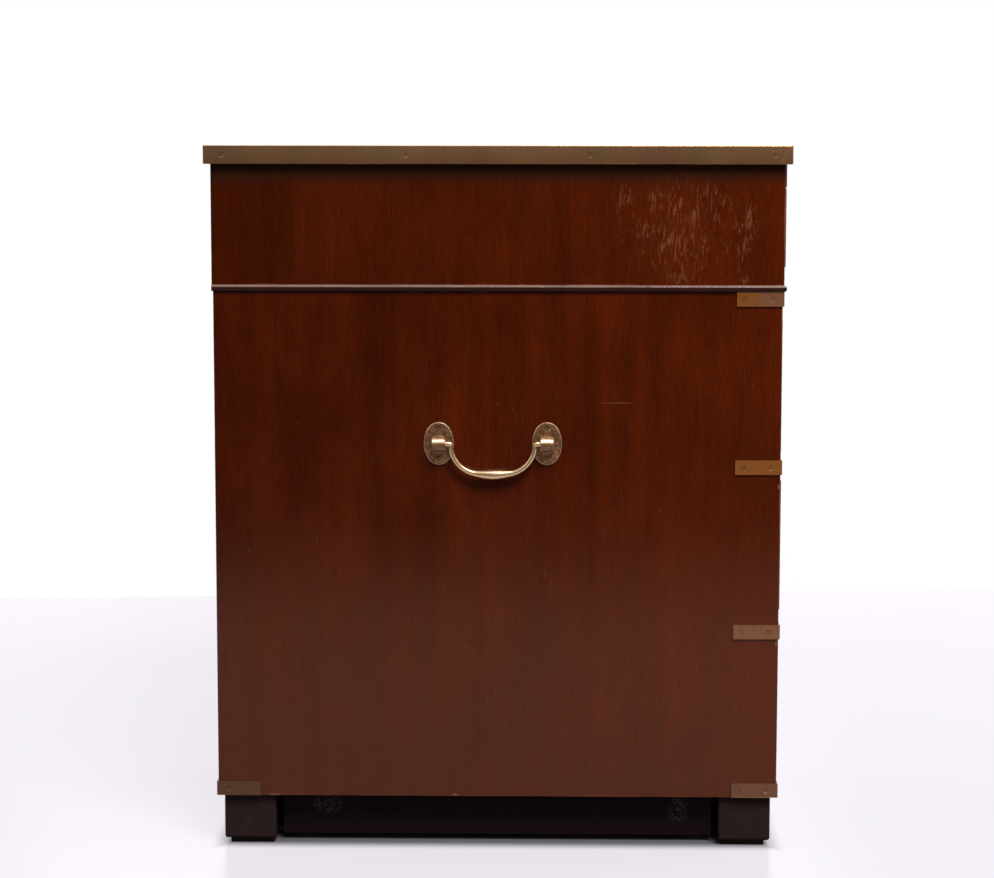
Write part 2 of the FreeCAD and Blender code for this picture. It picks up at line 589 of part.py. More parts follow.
# ---------------------------------------------------------------- flush pulls
def make_pull(x, z, y_face):
    """A cast plate with a sunk dish, and what it takes out of the wood behind."""
    plate = upright_plate(x, z, PULL_WIDTH, PULL_HEIGHT, PULL_CORNER_ROUND, y_face, y_face + PULL_THICKNESS)
    seat = plate.copy()
    dish_back = y_face + DISH_DEPTH + DISH_WALL
    outer_width, outer_height = DISH_WIDTH + 2 * DISH_WALL, DISH_HEIGHT + 2 * DISH_WALL
    outer_round = DISH_CORNER_ROUND + DISH_WALL
    shell = upright_plate(x, z, outer_width, outer_height, outer_round, y_face, dish_back)
    hollow = upright_plate(x, z, DISH_WIDTH, DISH_HEIGHT, DISH_CORNER_ROUND, y_face, y_face + DISH_DEPTH)
    clear = DISH_POCKET_CLEARANCE
    pocket_width, pocket_height = outer_width + 2 * clear, outer_height + 2 * clear
    pocket = upright_plate(x, z, pocket_width, pocket_height, outer_round + clear, y_face, dish_back + clear)
    pin_hole = Part.makeCylinder(
        BAIL_PIN / 2 + BAIL_PIN_CLEARANCE,
        outer_width,
        V(x - outer_width / 2, y_face + BAIL_PIN_SINK, z + BAIL_PIN_RISE),
        V(1, 0, 0),
    )
    seats = []
    for sx in (-1, 1):
        for sz in (-1, 1):
            screw_x = x + sx * (PULL_WIDTH / 2 - PULL_SCREW_INSET_X)
            screw_z = z + sz * (PULL_HEIGHT / 2 - PULL_SCREW_INSET_Z)
            seats.append((V(screw_x, y_face, screw_z), V(0, 1, 0)))
    screws, holes = screws_and_holes(seats)
    cast = plate.fuse(shell).removeSplitter().cut([hollow, pin_hole] + holes)
    return [cast] + screws, [seat, pocket] + holes


def make_bail(x, z, y_face):
    """The pull's bail: a rod bent square, hanging from two pins in the walls of the dish."""
    y = y_face + BAIL_PIN_SINK
    z_pin = z + BAIL_PIN_RISE
    half, corner = BAIL_SPAN / 2, BAIL_CORNER
    low = z_pin - BAIL_DROP
    left_arm = Part.makeLine(V(x - half, y, z_pin), V(x - half, y, low + corner))
    bar = Part.makeLine(V(x - half + corner, y, low), V(x + half - corner, y, low))
    right_arm = Part.makeLine(V(x + half, y, low + corner), V(x + half, y, z_pin))
    diagonal = corner * (1 - math.sqrt(0.5))
    bends = [
        Part.Arc(
            V(x + way * half, y, low + corner),
            V(x + way * (half - diagonal), y, low + diagonal),
            V(x + way * (half - corner), y, low),
        ).toShape()
        for way in (-1, 1)
    ]
    path = Part.Wire(Part.__sortEdges__([left_arm, bends[0], bar, bends[1], right_arm]))
    section = Part.Wire(Part.Circle(V(x - half, y, z_pin), UP, BAIL_ROD / 2).toShape())
    rod = path.makePipeShell([section], True, True)
    pin_end = DISH_WIDTH / 2 + DISH_WALL - half
    for way in (-1, 1):
        centre = V(x + way * half, y, z_pin)
        knuckle = Part.makeSphere(BAIL_ROD / 2, centre)
        rod = rod.fuse([knuckle, Part.makeCylinder(BAIL_PIN / 2, pin_end, centre, V(way, 0, 0))])
    return rod.removeSplitter()


# ---------------------------------------------------------------- drawers
def dovetails(x, root, tip, low, high):
    """Tails between two heights, as outline points at one x: narrow at the root and wide at the tip."""
    count = max(2, math.ceil((high - low) / DOVETAIL_PITCH))
    pitch = (high - low) / count
    points = []
    for k in range(count):
        middle = low + pitch * (k + 0.5)
        neck = pitch * DOVETAIL_NECK / 2
        flare = neck + abs(tip - root) * DOVETAIL_SLOPE
        points += [V(x, root, middle - neck), V(x, tip, middle - flare)]
        points += [V(x, tip, middle + flare), V(x, root, middle + neck)]
    return points


def side_outline(x, y_front, y_rear, z_low, z_high, back_low, back_high):
    """The outline of a drawer side, as points at one x.

    Its front tails reach DOVETAIL_LAP forward of y_front. Its rear tails pass through the back board, which
    stands between back_low and back_high.
    """
    front = dovetails(x, y_front, y_front - DOVETAIL_LAP, z_low, z_high)
    y_root = y_rear - DRAWER_SIDE_THICKNESS
    rear = dovetails(x, y_root, y_rear, back_low, back_high)
    rear.reverse()
    foot, head = V(x, y_front, z_low), V(x, y_front, z_high)
    return [foot, *front, head, V(x, y_root, z_high), *rear, V(x, y_root, z_low)]


def make_drawer(name, xs, zs, y_face, pull_xs):
    """A drawer for the opening between xs and zs: its front, dovetailed box, pulls and bails."""
    y_inner = y_face + FRONT_THICKNESS
    y_rear = PED_BACK - BACK_THICKNESS - DRAWER_REAR_GAP
    front = box(
        (xs[0] + FRONT_GAP, xs[1] - FRONT_GAP), (y_face, y_inner), (zs[0] + FRONT_GAP, zs[1] - FRONT_GAP)
    )
    front = softened(front, FRONT_EDGE_ROUND, lambda c: same(c.y, y_face))

    z_low = zs[0] + DRAWER_RUN_GAP
    z_high = zs[1] - DRAWER_HEAD_GAP
    floor = (z_low + DRAWER_BOTTOM_RAISE, z_low + DRAWER_BOTTOM_RAISE + DRAWER_BOTTOM_THICKNESS)
    outer = (xs[0] + DRAWER_SIDE_GAP + FRONT_GAP, xs[1] - DRAWER_SIDE_GAP - FRONT_GAP)
    inner = (outer[0] + DRAWER_SIDE_THICKNESS, outer[1] - DRAWER_SIDE_THICKNESS)
    grooved = (inner[0] - DRAWER_GROOVE, inner[1] + DRAWER_GROOVE)
    bottom = box(grooved, (y_inner - DRAWER_GROOVE, y_rear), floor)
    back_top = z_high - DRAWER_BACK_DROP
    back = box(outer, (y_rear - DRAWER_SIDE_THICKNESS, y_rear), (floor[1], back_top))
    sides = []
    for x in (outer[0], inner[1]):
        outline = side_outline(x, y_inner, y_rear, z_low, z_high, floor[1], back_top)
        sides.append(prism(outline, V(DRAWER_SIDE_THICKNESS, 0, 0)).cut(bottom))
    back = back.cut(sides)
    front = front.cut(sides + [bottom])

    z_middle = sum(zs) / 2
    pull_pieces, pull_cuts = [], []
    for x in pull_xs:
        pieces, cuts = make_pull(x, z_middle, y_face)
        pull_pieces += pieces
        pull_cuts += cuts
    made = {
        f"{name}_front": [front.cut(pull_cuts)],
        f"{name}_box": sides + [back, bottom],
        f"{name}_pull": pull_pieces,
    }
    labels = ("",) if len(pull_xs) == 1 else ("_left", "_right")
    for label, x in zip(labels, pull_xs):
        made[f"{name}_bail{label}"] = [make_bail(x, z_middle, y_face)]
    return made


def drawer_openings():
    """Every drawer: its name, its opening's (low, high) in X and Z, its face's Y, and its pulls' X."""
    z_frieze = (Z_FRIEZE + FRIEZE_BASE_THICKNESS, Z_TOP - FRIEZE_RAIL_HEIGHT)
    y_frieze = Y_FRONT - FRIEZE_PROUD
    half_pull = PULL_SPACING / 2
    found = [("centre_drawer", (-X_KNEE, X_KNEE), z_frieze, y_frieze, (-half_pull, half_pull))]
    for name, side in SIDES.items():
        x_divider = side * (X_KNEE + SIDE_THICKNESS)
        xs = sorted((x_divider, side * (X_OUT - SIDE_THICKNESS)))
        found.append((f"{name}_top_drawer", xs, z_frieze, y_frieze, (sum(xs) / 2,)))
        xs = sorted((x_divider, side * (PED_OUT - SIDE_THICKNESS)))
        for place, level, height, proud in zip(DRAWER_PLACES, rail_levels(), OPENING_HEIGHTS, FRONTS_PROUD):
            zs = (level + RAIL_HEIGHT, level + RAIL_HEIGHT + height)
            found.append((f"{name}_{place}_drawer", xs, zs, PED_FRONT - proud, (sum(xs) / 2,)))
    return found


# ---------------------------------------------------------------- writing the pieces
def build():
    """Every node of the desk, as a dict of name to list of solids."""
    nodes = {}
    nodes.update(make_top())
    nodes.update(make_frieze())
    for name in SIDES:
        nodes.update(make_pedestal(name))
    for opening in drawer_openings():
        nodes.update(make_drawer(*opening))
    return nodes


def write(nodes):
    os.makedirs("parts", exist_ok=True)
    for name, pieces in nodes.items():
        solids = [solid for piece in pieces for solid in piece.Solids]
        if not all(solid.isValid() and solid.Volume > 0 for solid in solids):
            raise ValueError(f"{name} has a solid that isn't valid")
        Part.makeCompound(solids).exportStep(f"parts/{name}.step")
    print(len(nodes), "nodes,", sum(len(p) for p in nodes.values()), "pieces")


NODES = build()
write(NODES)
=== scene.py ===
# %% [markdown]
# # A campaign desk in mahogany and brass
#
# A campaign desk was made to travel. Its top section, with three shallow drawers, lifts off two pedestals
# of drawers. Brass straps guard the corners, a brass band guards the top, and each pedestal has a carrying
# handle on its outer side. The construction is already there as a fixed frame: every board, drawer and
# screw at its real size, in metres, with the desk's long side along X and its drawers facing -Y. This
# lesson gives each surface its finish, and models by hand the few pieces whose shape asks for more than
# straight cuts.

# %% Load the frame
import json
import math

import bpy
import numpy as np
from mathutils import Matrix, Vector


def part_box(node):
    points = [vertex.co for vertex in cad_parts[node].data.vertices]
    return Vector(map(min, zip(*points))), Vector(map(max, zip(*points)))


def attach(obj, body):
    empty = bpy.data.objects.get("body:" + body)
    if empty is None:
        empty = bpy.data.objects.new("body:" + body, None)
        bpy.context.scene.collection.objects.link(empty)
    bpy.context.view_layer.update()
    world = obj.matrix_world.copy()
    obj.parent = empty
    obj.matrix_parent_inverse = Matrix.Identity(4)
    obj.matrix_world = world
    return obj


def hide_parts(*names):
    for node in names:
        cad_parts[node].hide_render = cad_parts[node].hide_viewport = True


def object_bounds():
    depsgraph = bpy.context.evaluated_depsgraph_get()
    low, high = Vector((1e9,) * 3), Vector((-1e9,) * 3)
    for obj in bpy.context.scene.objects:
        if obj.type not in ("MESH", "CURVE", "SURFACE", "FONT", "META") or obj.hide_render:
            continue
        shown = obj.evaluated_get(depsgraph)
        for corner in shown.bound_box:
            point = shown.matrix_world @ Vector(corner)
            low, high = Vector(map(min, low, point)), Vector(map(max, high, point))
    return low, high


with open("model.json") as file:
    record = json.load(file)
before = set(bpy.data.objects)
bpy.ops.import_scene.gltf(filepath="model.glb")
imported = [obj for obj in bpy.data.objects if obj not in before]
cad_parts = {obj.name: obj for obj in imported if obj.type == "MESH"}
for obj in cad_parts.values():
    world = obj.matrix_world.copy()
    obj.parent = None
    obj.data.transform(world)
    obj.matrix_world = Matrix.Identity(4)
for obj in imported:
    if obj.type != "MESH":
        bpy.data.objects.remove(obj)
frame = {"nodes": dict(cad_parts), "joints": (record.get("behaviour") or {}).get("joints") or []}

CAD_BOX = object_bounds()
NODES = frame["nodes"]


def nodes_of(material):
    """The names of the frame's pieces that are made of one material, in order."""
    return sorted(name for name, piece in NODES.items() if piece.material_slots[0].name == material)


print("frame:", len(NODES), "nodes, box", CAD_BOX)

# %% [markdown]
# ## The camera
#
# The desk is seen from its left end, a little above the middle of the top section, from about two and a
# half metres. A camera in Blender looks along its own -Z with +Y up. We first turn it so that it looks
# along +X with +Z up, then turn it by three small angles. The lens is worked out from a focal length in
# pixels, because that is how a picture's perspective is measured, and a sensor of 36 mm.

# %% Camera
IMAGE_WIDTH = 994            # pixels
FOCAL_PIXELS = 2358.0
SENSOR_WIDTH = 36.0          # millimetres
CAMERA_PLACE = Vector((-3.119, -0.0389, 0.7171))
CAMERA_YAW, CAMERA_PITCH, CAMERA_ROLL = math.radians(0.892), math.radians(-6.104), math.radians(0.066)
LOOK_ALONG_X = Matrix(((0, 0, -1), (-1, 0, 0), (0, 1, 0)))

lens = bpy.data.cameras.new("camera")
lens.sensor_fit = "HORIZONTAL"
lens.sensor_width = SENSOR_WIDTH
lens.lens = FOCAL_PIXELS * SENSOR_WIDTH / IMAGE_WIDTH
camera = bpy.data.objects.new("camera", lens)
turn = Matrix.Rotation(CAMERA_YAW, 3, "Z") @ Matrix.Rotation(-CAMERA_PITCH, 3, "Y")
turn = turn @ Matrix.Rotation(-CAMERA_ROLL, 3, "X") @ LOOK_ALONG_X
camera.matrix_world = Matrix.Translation(CAMERA_PLACE) @ turn.to_4x4()
bpy.context.scene.collection.objects.link(camera)
bpy.context.scene.camera = camera
print("camera: lens", round(lens.lens, 1), "mm at", tuple(round(v, 3) for v in CAMERA_PLACE))

# %% [markdown]
# ## Small helpers for shader nodes
#
# A finish is a graph of nodes. Written out in full, each node takes half a dozen lines, and the idea drowns
# in them. These helpers make a node and set or link its inputs in one line, so that a finish below reads
# like its recipe: noise here, a threshold there, a mix of two colours. No call has to name the node tree:
# every socket knows its own, as `id_data`.

# %% Helpers: nodes
def feed(socket, value):
    """Links another node's output to a socket, or sets its own value. A colour is (red, green, blue)."""
    if isinstance(value, bpy.types.NodeSocket):
        socket.id_data.links.new(value, socket)
    elif socket.type == "RGBA":
        socket.default_value = (*value, 1.0)
    else:
        socket.default_value = value


def node(kind, inputs, **settings):
    """Adds a shader node. `inputs` gives what to feed to each socket, by its name or number.

    At least one of them is another node's output, and the new node goes into the same tree.
    """
    tree = next(value for value in inputs.values() if isinstance(value, bpy.types.NodeSocket)).id_data
    made = tree.nodes.new("ShaderNode" + kind)
    for name, value in settings.items():
        setattr(made, name, value)
    for key, value in inputs.items():
        feed(made.inputs[key], value)
    return made


def calc(operation, *values):
    """The result of one Math node."""
    return node("Math", dict(enumerate(values)), operation=operation).outputs[0]


def times(first, *others):
    """The product of several values."""
    for other in others:
        first = calc("MULTIPLY", first, other)
    return first


def away(value, place):
    """How far a value is from a place, without a sign."""
    return calc("ABSOLUTE", calc("SUBTRACT", value, place))


def strongest(values):
    """The largest of several values at each point."""
    largest = values[0]
    for value in values[1:]:
        largest = calc("MAXIMUM", largest, value)
    return largest


def vector_calc(operation, *values):
    """The vector result of one Vector Math node."""
    return node("VectorMath", dict(enumerate(values)), operation=operation).outputs[0]


def between(value, low, high):
    """0 below `low`, 1 above `high`, and a smooth step from one to the other. `low` may be the larger."""
    limits = {"Value": value, "From Min": low, "From Max": high}
    return node("MapRange", limits, interpolation_type="SMOOTHSTEP").outputs[0]


def blend(share, first, second):
    """A colour between two colours. Sockets 0, 6 and 7 of a Mix node are its factor and its two colours."""
    return node("Mix", {0: share, 6: first, 7: second}, data_type="RGBA").outputs[2]


def speckle(position, density, detail=2.0, roughness=0.5):
    """Noise from 0 to 1, with so many features to the metre: one number, or one each for X, Y and Z."""
    each_way = density if isinstance(density, tuple) else (density, density, density)
    scaled = vector_calc("MULTIPLY", position, each_way)
    inputs = {"Vector": scaled, "Scale": 1.0, "Detail": detail, "Roughness": roughness}
    return node("TexNoise", inputs).outputs[0]


def graded(colour, share, darkest, lightest):
    """A colour times `darkest` where share is 0, and times `lightest` where it is 1."""
    factor = calc("MULTIPLY_ADD", share, lightest - darkest, darkest)
    return node("VectorMath", {0: colour, "Scale": factor}, operation="SCALE").outputs[0]


def tint(colour, share, strength):
    """A colour made darker and lighter by the same strength, round a share of a half."""
    return graded(colour, share, 1.0 - strength, 1.0 + strength)


def axes(vector):
    """The X, Y and Z of a vector, as three outputs."""
    return node("SeparateXYZ", {0: vector}).outputs


def inset(position, box):
    """How far a point is from the nearer face of a box, along X, Y and Z."""
    from_low = vector_calc("SUBTRACT", position, box[0])
    from_high = vector_calc("SUBTRACT", box[1], position)
    return axes(vector_calc("MINIMUM", from_low, from_high))


def length_of(x, y):
    """The length of a vector with these two parts."""
    flat = node("CombineXYZ", {"X": x, "Y": y, "Z": 0.0}).outputs[0]
    return node("VectorMath", {0: flat}, operation="LENGTH").outputs["Value"]


# %% Helpers: node groups and materials
SOCKET_KINDS = {"value": "NodeSocketFloat", "vector": "NodeSocketVector", "colour": "NodeSocketColor"}
ORIGIN = (0.0, 0.0, 0.0)
BLACK = (0.0, 0.0, 0.0, 1.0)
PIECE_SOCKETS = {"Position": ("vector", ORIGIN), "Low": ("vector", ORIGIN), "High": ("vector", ORIGIN)}
WOOD_OUTPUTS = {"Base Color": "colour", "Roughness": "value", "Height": "value"}


def start_group(name, inputs, outputs):
    """A node group with named sockets. Gives the group, what comes in and what has to be fed to go out."""
    group = bpy.data.node_groups.new(name, "ShaderNodeTree")
    for label, (kind, default) in inputs.items():
        socket = group.interface.new_socket(label, in_out="INPUT", socket_type=SOCKET_KINDS[kind])
        socket.default_value = default
    for label, kind in outputs.items():
        group.interface.new_socket(label, in_out="OUTPUT", socket_type=SOCKET_KINDS[kind])
    return group, group.nodes.new("NodeGroupInput").outputs, group.nodes.new("NodeGroupOutput").inputs


def place_group(group, inputs):
    """A node group placed in a material or in another group, as its outputs."""
    return node("Group", inputs, node_tree=group).outputs


def place_on_piece(group, position, box, others=None):
    """A node group that also has to know where a point lies between the corners of its piece's box."""
    return place_group(group, {**dict(zip(PIECE_SOCKETS, (position, *box))), **(others or {})})


def start_material(name):
    """An empty material, its Principled shader and the position on the piece, in metres."""
    material = bpy.data.materials.new(name)
    material.use_nodes = True
    tree = material.node_tree
    return material, tree.nodes["Principled BSDF"], tree.nodes.new("ShaderNodeTexCoord").outputs["Object"]


def dress(shader, finish, specular):
    """Feeds a finish's outputs to the shader's sockets of the same names, and sets how much it mirrors."""
    for name in ("Base Color", "Metallic", "Roughness"):
        if name in finish:
            feed(shader.inputs[name], finish[name])
    shader.inputs["Specular IOR Level"].default_value = specular


def paint(shader, colour):
    """Feeds a colour to the shader."""
    feed(shader.inputs["Base Color"], colour)


def bump(shader, height, depth, strength):
    """Feeds a height from 0 to 1, which stands for `depth` metres, to the shader's normal."""
    made = node("Bump", {"Height": height, "Distance": depth, "Strength": strength})
    feed(shader.inputs["Normal"], made.outputs[0])


# %% [markdown]
# ## Grain
#
# Mahogany grows in soft ribbons. Along the grain everything is long: broad bands of darker and lighter
# wood, fine streaks inside them, and short dark pores. Across the grain it all changes within millimetres.
# Noise that is stretched along one axis gives all three, at three scales. A slow wander, added before the
# stretch, keeps the streaks from being dead straight. The group takes a position whose Z is the grain's
# direction, so a Mapping node in each material can turn it for a drawer front or a top board.

# %% Node group: wood grain
def build_grain():
    group, given, out = start_group(
        "wood grain",
        {"Position": ("vector", ORIGIN)},
        {"Bands": "value", "Streaks": "value", "Pores": "value", "Clouds": "value"},
    )
    wander = speckle(given["Position"], (3.0, 3.0, 2.2))
    shift = calc("MULTIPLY_ADD", wander, 0.05, -0.025)
    sideways = node("CombineXYZ", {"X": shift, "Y": shift, "Z": 0.0}).outputs[0]
    position = vector_calc("ADD", given["Position"], sideways)
    fibres = speckle(position, (1250.0, 1250.0, 42.0), detail=1.0)
    clouds = speckle(given["Position"], (10.0, 10.0, 6.5), detail=6.0, roughness=0.60)
    feed(out["Bands"], speckle(position, (34.0, 34.0, 2.0), detail=5.0, roughness=0.62))
    feed(out["Streaks"], speckle(position, (640.0, 640.0, 38.0), detail=4.0, roughness=0.65))
    feed(out["Pores"], between(fibres, 0.58, 0.72))
    feed(out["Clouds"], between(clouds, 0.28, 0.72))
    return group


GRAIN = build_grain()
print("grain group:", len(GRAIN.nodes), "nodes")

# %% [markdown]
# ## Worn edges
#
# Hands, knees and dusters rub the finish off an edge before they touch the flat. On a board that fills its
# box, a point is near an edge when two of its three distances to the box's faces are small, which means
# that the middle one of the three distances is small. The width of the rubbed line is varied with noise, so
# that it comes and goes.

# %% Node group: edge wear
def build_edge_wear():
    group, given, out = start_group(
        "edge wear",
        {**PIECE_SOCKETS, "Width": ("value", 0.002), "Patches": ("value", 38.0)},
        {"Wear": "value"},
    )
    near = inset(given["Position"], (given["Low"], given["High"]))
    smaller = calc("MINIMUM", near[0], near[1])
    larger = calc("MAXIMUM", near[0], near[1])
    middle = calc("MAXIMUM", smaller, calc("MINIMUM", larger, near[2]))
    noise = {"Vector": given["Position"], "Scale": given["Patches"], "Detail": 4.0, "Roughness": 0.65}
    patchy = between(node("TexNoise", noise).outputs[0], 0.38, 0.72)
    width = calc("MULTIPLY_ADD", given["Width"], patchy, 1e-5)
    feed(out["Wear"], between(calc("DIVIDE", middle, width), 1.0, 0.35))
    return group


EDGE_WEAR = build_edge_wear()


def edge_wear(given, width, patches):
    """The wear at a point, inside a group that was given the point and its piece's box."""
    box = given["Low"], given["High"]
    others = {"Width": width, "Patches": patches}
    return place_on_piece(EDGE_WEAR, given["Position"], box, others)["Wear"]


print("edge wear group:", len(EDGE_WEAR.nodes), "nodes")

# %% [markdown]
# ## Spots
#
# Flakes, chips, scratches and dust sit where they happened to land, so no noise puts them there: they are
# placed one by one. A mark is a spot round a middle: the distance from it, divided by how far the spot
# reaches each way, is less than 1 inside. Only Y and Z count, because every mark here is on a face that
# looks along
# X.

# %% Node group: spot
def build_spot():
    group, given, out = start_group(
        "spot",
        {"Position": ("vector", ORIGIN), "Middle": ("vector", ORIGIN), "Reach": ("vector", (1.0, 1.0, 1.0))},
        {"Inside": "value"},
    )
    offset = axes(vector_calc("SUBTRACT", given["Position"], given["Middle"]))
    reach = axes(given["Reach"])
    parts = [calc("DIVIDE", offset[k], reach[k]) for k in (1, 2)]
    feed(out["Inside"], between(length_of(*parts), 1.0, 0.3))
    return group


SPOT = build_spot()


def spot(position, middle, reach):
    """1 at a spot's middle, falling smoothly to 0 at its reach. Both are (y, z) in metres."""
    place = {"Position": position, "Middle": (0, *middle), "Reach": (1, *reach)}
    return place_group(SPOT, place)["Inside"]


print("spot group:", len(SPOT.nodes), "nodes")

# %% [markdown]
# ## Mahogany under old varnish
#
# The varnish is what makes this wood red: clear, thin and dark with age. So the colours are deep, the
# shader has only a weak gloss at straight view, and the grain shows as small changes of tone. Each board
# gets its own material, because no two boards are cut from one place: the same recipe reads the grain at
# another offset, and a Mapping node turns the grain to run along the board.

# %% Mahogany
GRAIN_TURNS = {
    "x": (0.0, math.pi / 2, 0.0),
    "y": (math.pi / 2, 0.0, 0.0),
    "z": (0.0, 0.0, 0.0),
}
DARK_WOOD = (0.036, 0.0043, 0.0005)
RED_WOOD = (0.064, 0.0073, 0.0006)
LIGHT_WOOD = (0.092, 0.0135, 0.0014)
PORE_BROWN = (0.018, 0.0028, 0.0007)
RUBBED_WOOD = (0.150, 0.045, 0.018)
VARNISH_GLOSS, LIP_GLOSS = 0.19, 0.10


def build_varnished_wood():
    sockets = {**PIECE_SOCKETS, "Grain Position": ("vector", ORIGIN)}
    group, given, out = start_group("varnished wood", sockets, WOOD_OUTPUTS)
    wood = place_group(GRAIN, {"Position": given["Grain Position"]})
    colour = blend(between(wood["Bands"], 0.18, 0.80), DARK_WOOD, RED_WOOD)
    colour = blend(times(between(wood["Streaks"], 0.40, 0.80), 0.42), colour, LIGHT_WOOD)
    colour = tint(colour, wood["Clouds"], 0.21)
    colour = blend(times(wood["Pores"], 0.55), colour, PORE_BROWN)
    worn = edge_wear(given, width=0.0022, patches=15.0)
    feed(out["Base Color"], blend(times(worn, 0.6), colour, RUBBED_WOOD))
    rough = calc("MULTIPLY_ADD", wood["Clouds"], 0.05, 0.13)
    feed(out["Roughness"], calc("MULTIPLY_ADD", worn, 0.2, rough))
    feed(out["Height"], calc("MULTIPLY_ADD", wood["Pores"], -0.6, wood["Streaks"]))
    return group


VARNISHED_WOOD = build_varnished_wood()


def turn_grain(position, grain, offset):
    """The position to read the grain at: turned to run along an axis, and moved to a place of its own."""
    turned = {"Vector": position, "Location": offset, "Rotation": GRAIN_TURNS[grain]}
    return node("Mapping", turned).outputs[0]


def mahogany(name, grain, offset, box, gloss):
    """A board's own mahogany. Gives the material, its shader, the position on the board and the colour."""
    material, shader, position = start_material(name)
    turned = turn_grain(position, grain, offset)
    wood = place_on_piece(VARNISHED_WOOD, position, box, {"Grain Position": turned})
    dress(shader, wood, specular=gloss)
    bump(shader, wood["Height"], depth=0.00012, strength=0.5)
    return material, shader, position, wood["Base Color"]


def grain_of(name):
    """Which way the grain runs in a wooden node."""
    if name.endswith(("_sides", "frieze_ends", "_back")) and name != "frieze_back":
        return "z"
    return "x"


OFFSET_STEP = Vector((0.737, 1.193, 2.411))
boards = nodes_of("mahogany")
wood_made = {}
for count, name in enumerate(boards):
    gloss = LIP_GLOSS if name == "base_lip" else VARNISH_GLOSS
    made = mahogany("mahogany " + name, grain_of(name), OFFSET_STEP * (count + 1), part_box(name), gloss)
    NODES[name].material_slots[0].material = made[0]
    wood_made[name] = made[1:]
print("mahogany boards:", len(boards))

# %% [markdown]
# ## What happened to the left end
#
# A finish is lived in. On the left end of the top section the varnish has let go in short upright flakes,
# in clusters towards the drawers, and pale wood shows through. Painted shade darkens it under the top's
# edge, where the top overhangs. The pedestal's side below has one dry scratch and a few chips at its edges,
# and it is lighter and browner towards the bottom. Both are a little lighter towards the front, partly the
# wood's own tone and partly painted light from the drawers' side. The lip between them is painted dark with
# shade, with a painted highlight along its upper half.

# %% Marks on the left end
FLAKED_WOOD = (0.190, 0.074, 0.034)
FLAKE_CLUSTERS = (           # middle and reach as (y, z) in metres, and how thick the flakes are
    ((-0.137, 0.696), (0.015, 0.034), 0.75),
    ((-0.169, 0.700), (0.014, 0.028), 1.05),
    ((-0.184, 0.668), (0.010, 0.034), 0.95),
    ((-0.207, 0.688), (0.017, 0.028), 0.92),
    ((-0.236, 0.684), (0.006, 0.014), 0.95),
    ((-0.264, 0.674), (0.011, 0.048), 0.92),
    ((-0.191, 0.621), (0.020, 0.011), 1.10),
    ((-0.256, 0.622), (0.020, 0.014), 1.10),
)
FLAKED_AREA = ((-0.205, 0.672), (0.108, 0.078))
THIN_FLAKES = 0.60           # as thick as this between the clusters
UNDER_TOP_SHADE = (0.0175, 0.0070, 0.0038)
UNDER_TOP_SHADE_FADE = [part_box("frieze_ends")[1][2] - drop for drop in (0.024, 0.005)]   # heights where the painted shade under the top's edge starts and is full
OUTER_FACES = -0.6           # a mark lies further out along X than this
LOWER_SIDE_WOOD = (0.088, 0.0185, 0.0008)
SCRATCH = ((-0.128, 0.487), (0.027, 0.0008))
CHIPS = (
    ((-0.3025, 0.397), (0.0015, 0.004)),
    ((-0.3020, 0.227), (0.0015, 0.005)),
    ((0.0457, 0.0575), (0.004, 0.0018)),
    ((0.2420, 0.0565), (0.009, 0.0016)),
)
LIP_HIGHLIGHT = (0.195, 0.122, 0.104)
LIP_SHADE = (0.020, 0.007, 0.005)
LIP_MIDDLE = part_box("base_lip")[1][2] - 0.0022
LIP_BLUR = 0.0008


def tone_and_light_towards_front(position, colour):
    """The colour, a little darker at the back edge and a little lighter at the drawers' edge: partly the
    wood's own tone, partly painted light from the drawers' side.
    """
    return graded(colour, between(axes(position)[1], 0.35, -0.25), 0.87, 1.19)


def flake_left_end(shader, position, colour):
    """Varnish flaked off in clusters of short upright streaks, and painted shade under the top's edge."""
    clusters = [times(spot(position, *place), thickness) for *place, thickness in FLAKE_CLUSTERS]
    thin = times(spot(position, *FLAKED_AREA), THIN_FLAKES)
    chance = strongest([*clusters, thin])
    streaks = speckle(position, (1.0, 640.0, 95.0), detail=3.0, roughness=0.6)
    flaked = between(calc("MULTIPLY_ADD", chance, 0.14, streaks), 0.60, 0.73)
    faint = between(speckle(position, (1.0, 70.0, 50.0)), 0.30, 0.68)
    places = axes(position)
    outside = calc("LESS_THAN", places[0], OUTER_FACES)
    flaked = times(flaked, faint, between(chance, 0.05, 0.5), outside)
    # Painted shade under the overhang of the top's edge, with a ragged lower border.
    ragged = speckle(position, (14.0, 14.0, 30.0), detail=3.0)
    height = calc("MULTIPLY_ADD", ragged, 0.006, places[2])
    under_top_shade = times(between(height, *UNDER_TOP_SHADE_FADE), 0.78)
    colour = blend(under_top_shade, tone_and_light_towards_front(position, colour), UNDER_TOP_SHADE)
    paint(shader, blend(times(flaked, 0.66), colour, FLAKED_WOOD))


def mark_left_side(shader, position, colour):
    """A scratch, chips and a few small nicks, lighter and browner towards the bottom, and a little lighter
    towards the front, partly painted light from the drawers' side.
    """
    places = axes(position)
    colour = tone_and_light_towards_front(position, colour)
    # Lighter and browner towards the bottom of the side.
    lower_share = times(between(places[2], 0.40, 0.22), 0.40)
    colour = blend(lower_share, colour, LOWER_SIDE_WOOD)
    dry = times(spot(position, *SCRATCH), speckle(position, (1.0, 260.0, 900.0)), 1.2)
    chips = strongest([spot(position, *chip) for chip in CHIPS])
    nicks = between(speckle(position, (1.0, 230.0, 75.0)), 0.735, 0.80)
    marks = strongest([dry, chips, times(nicks, 0.30)])
    outside = calc("LESS_THAN", places[0], OUTER_FACES)
    paint(shader, blend(times(marks, outside, 0.8), colour, FLAKED_WOOD))


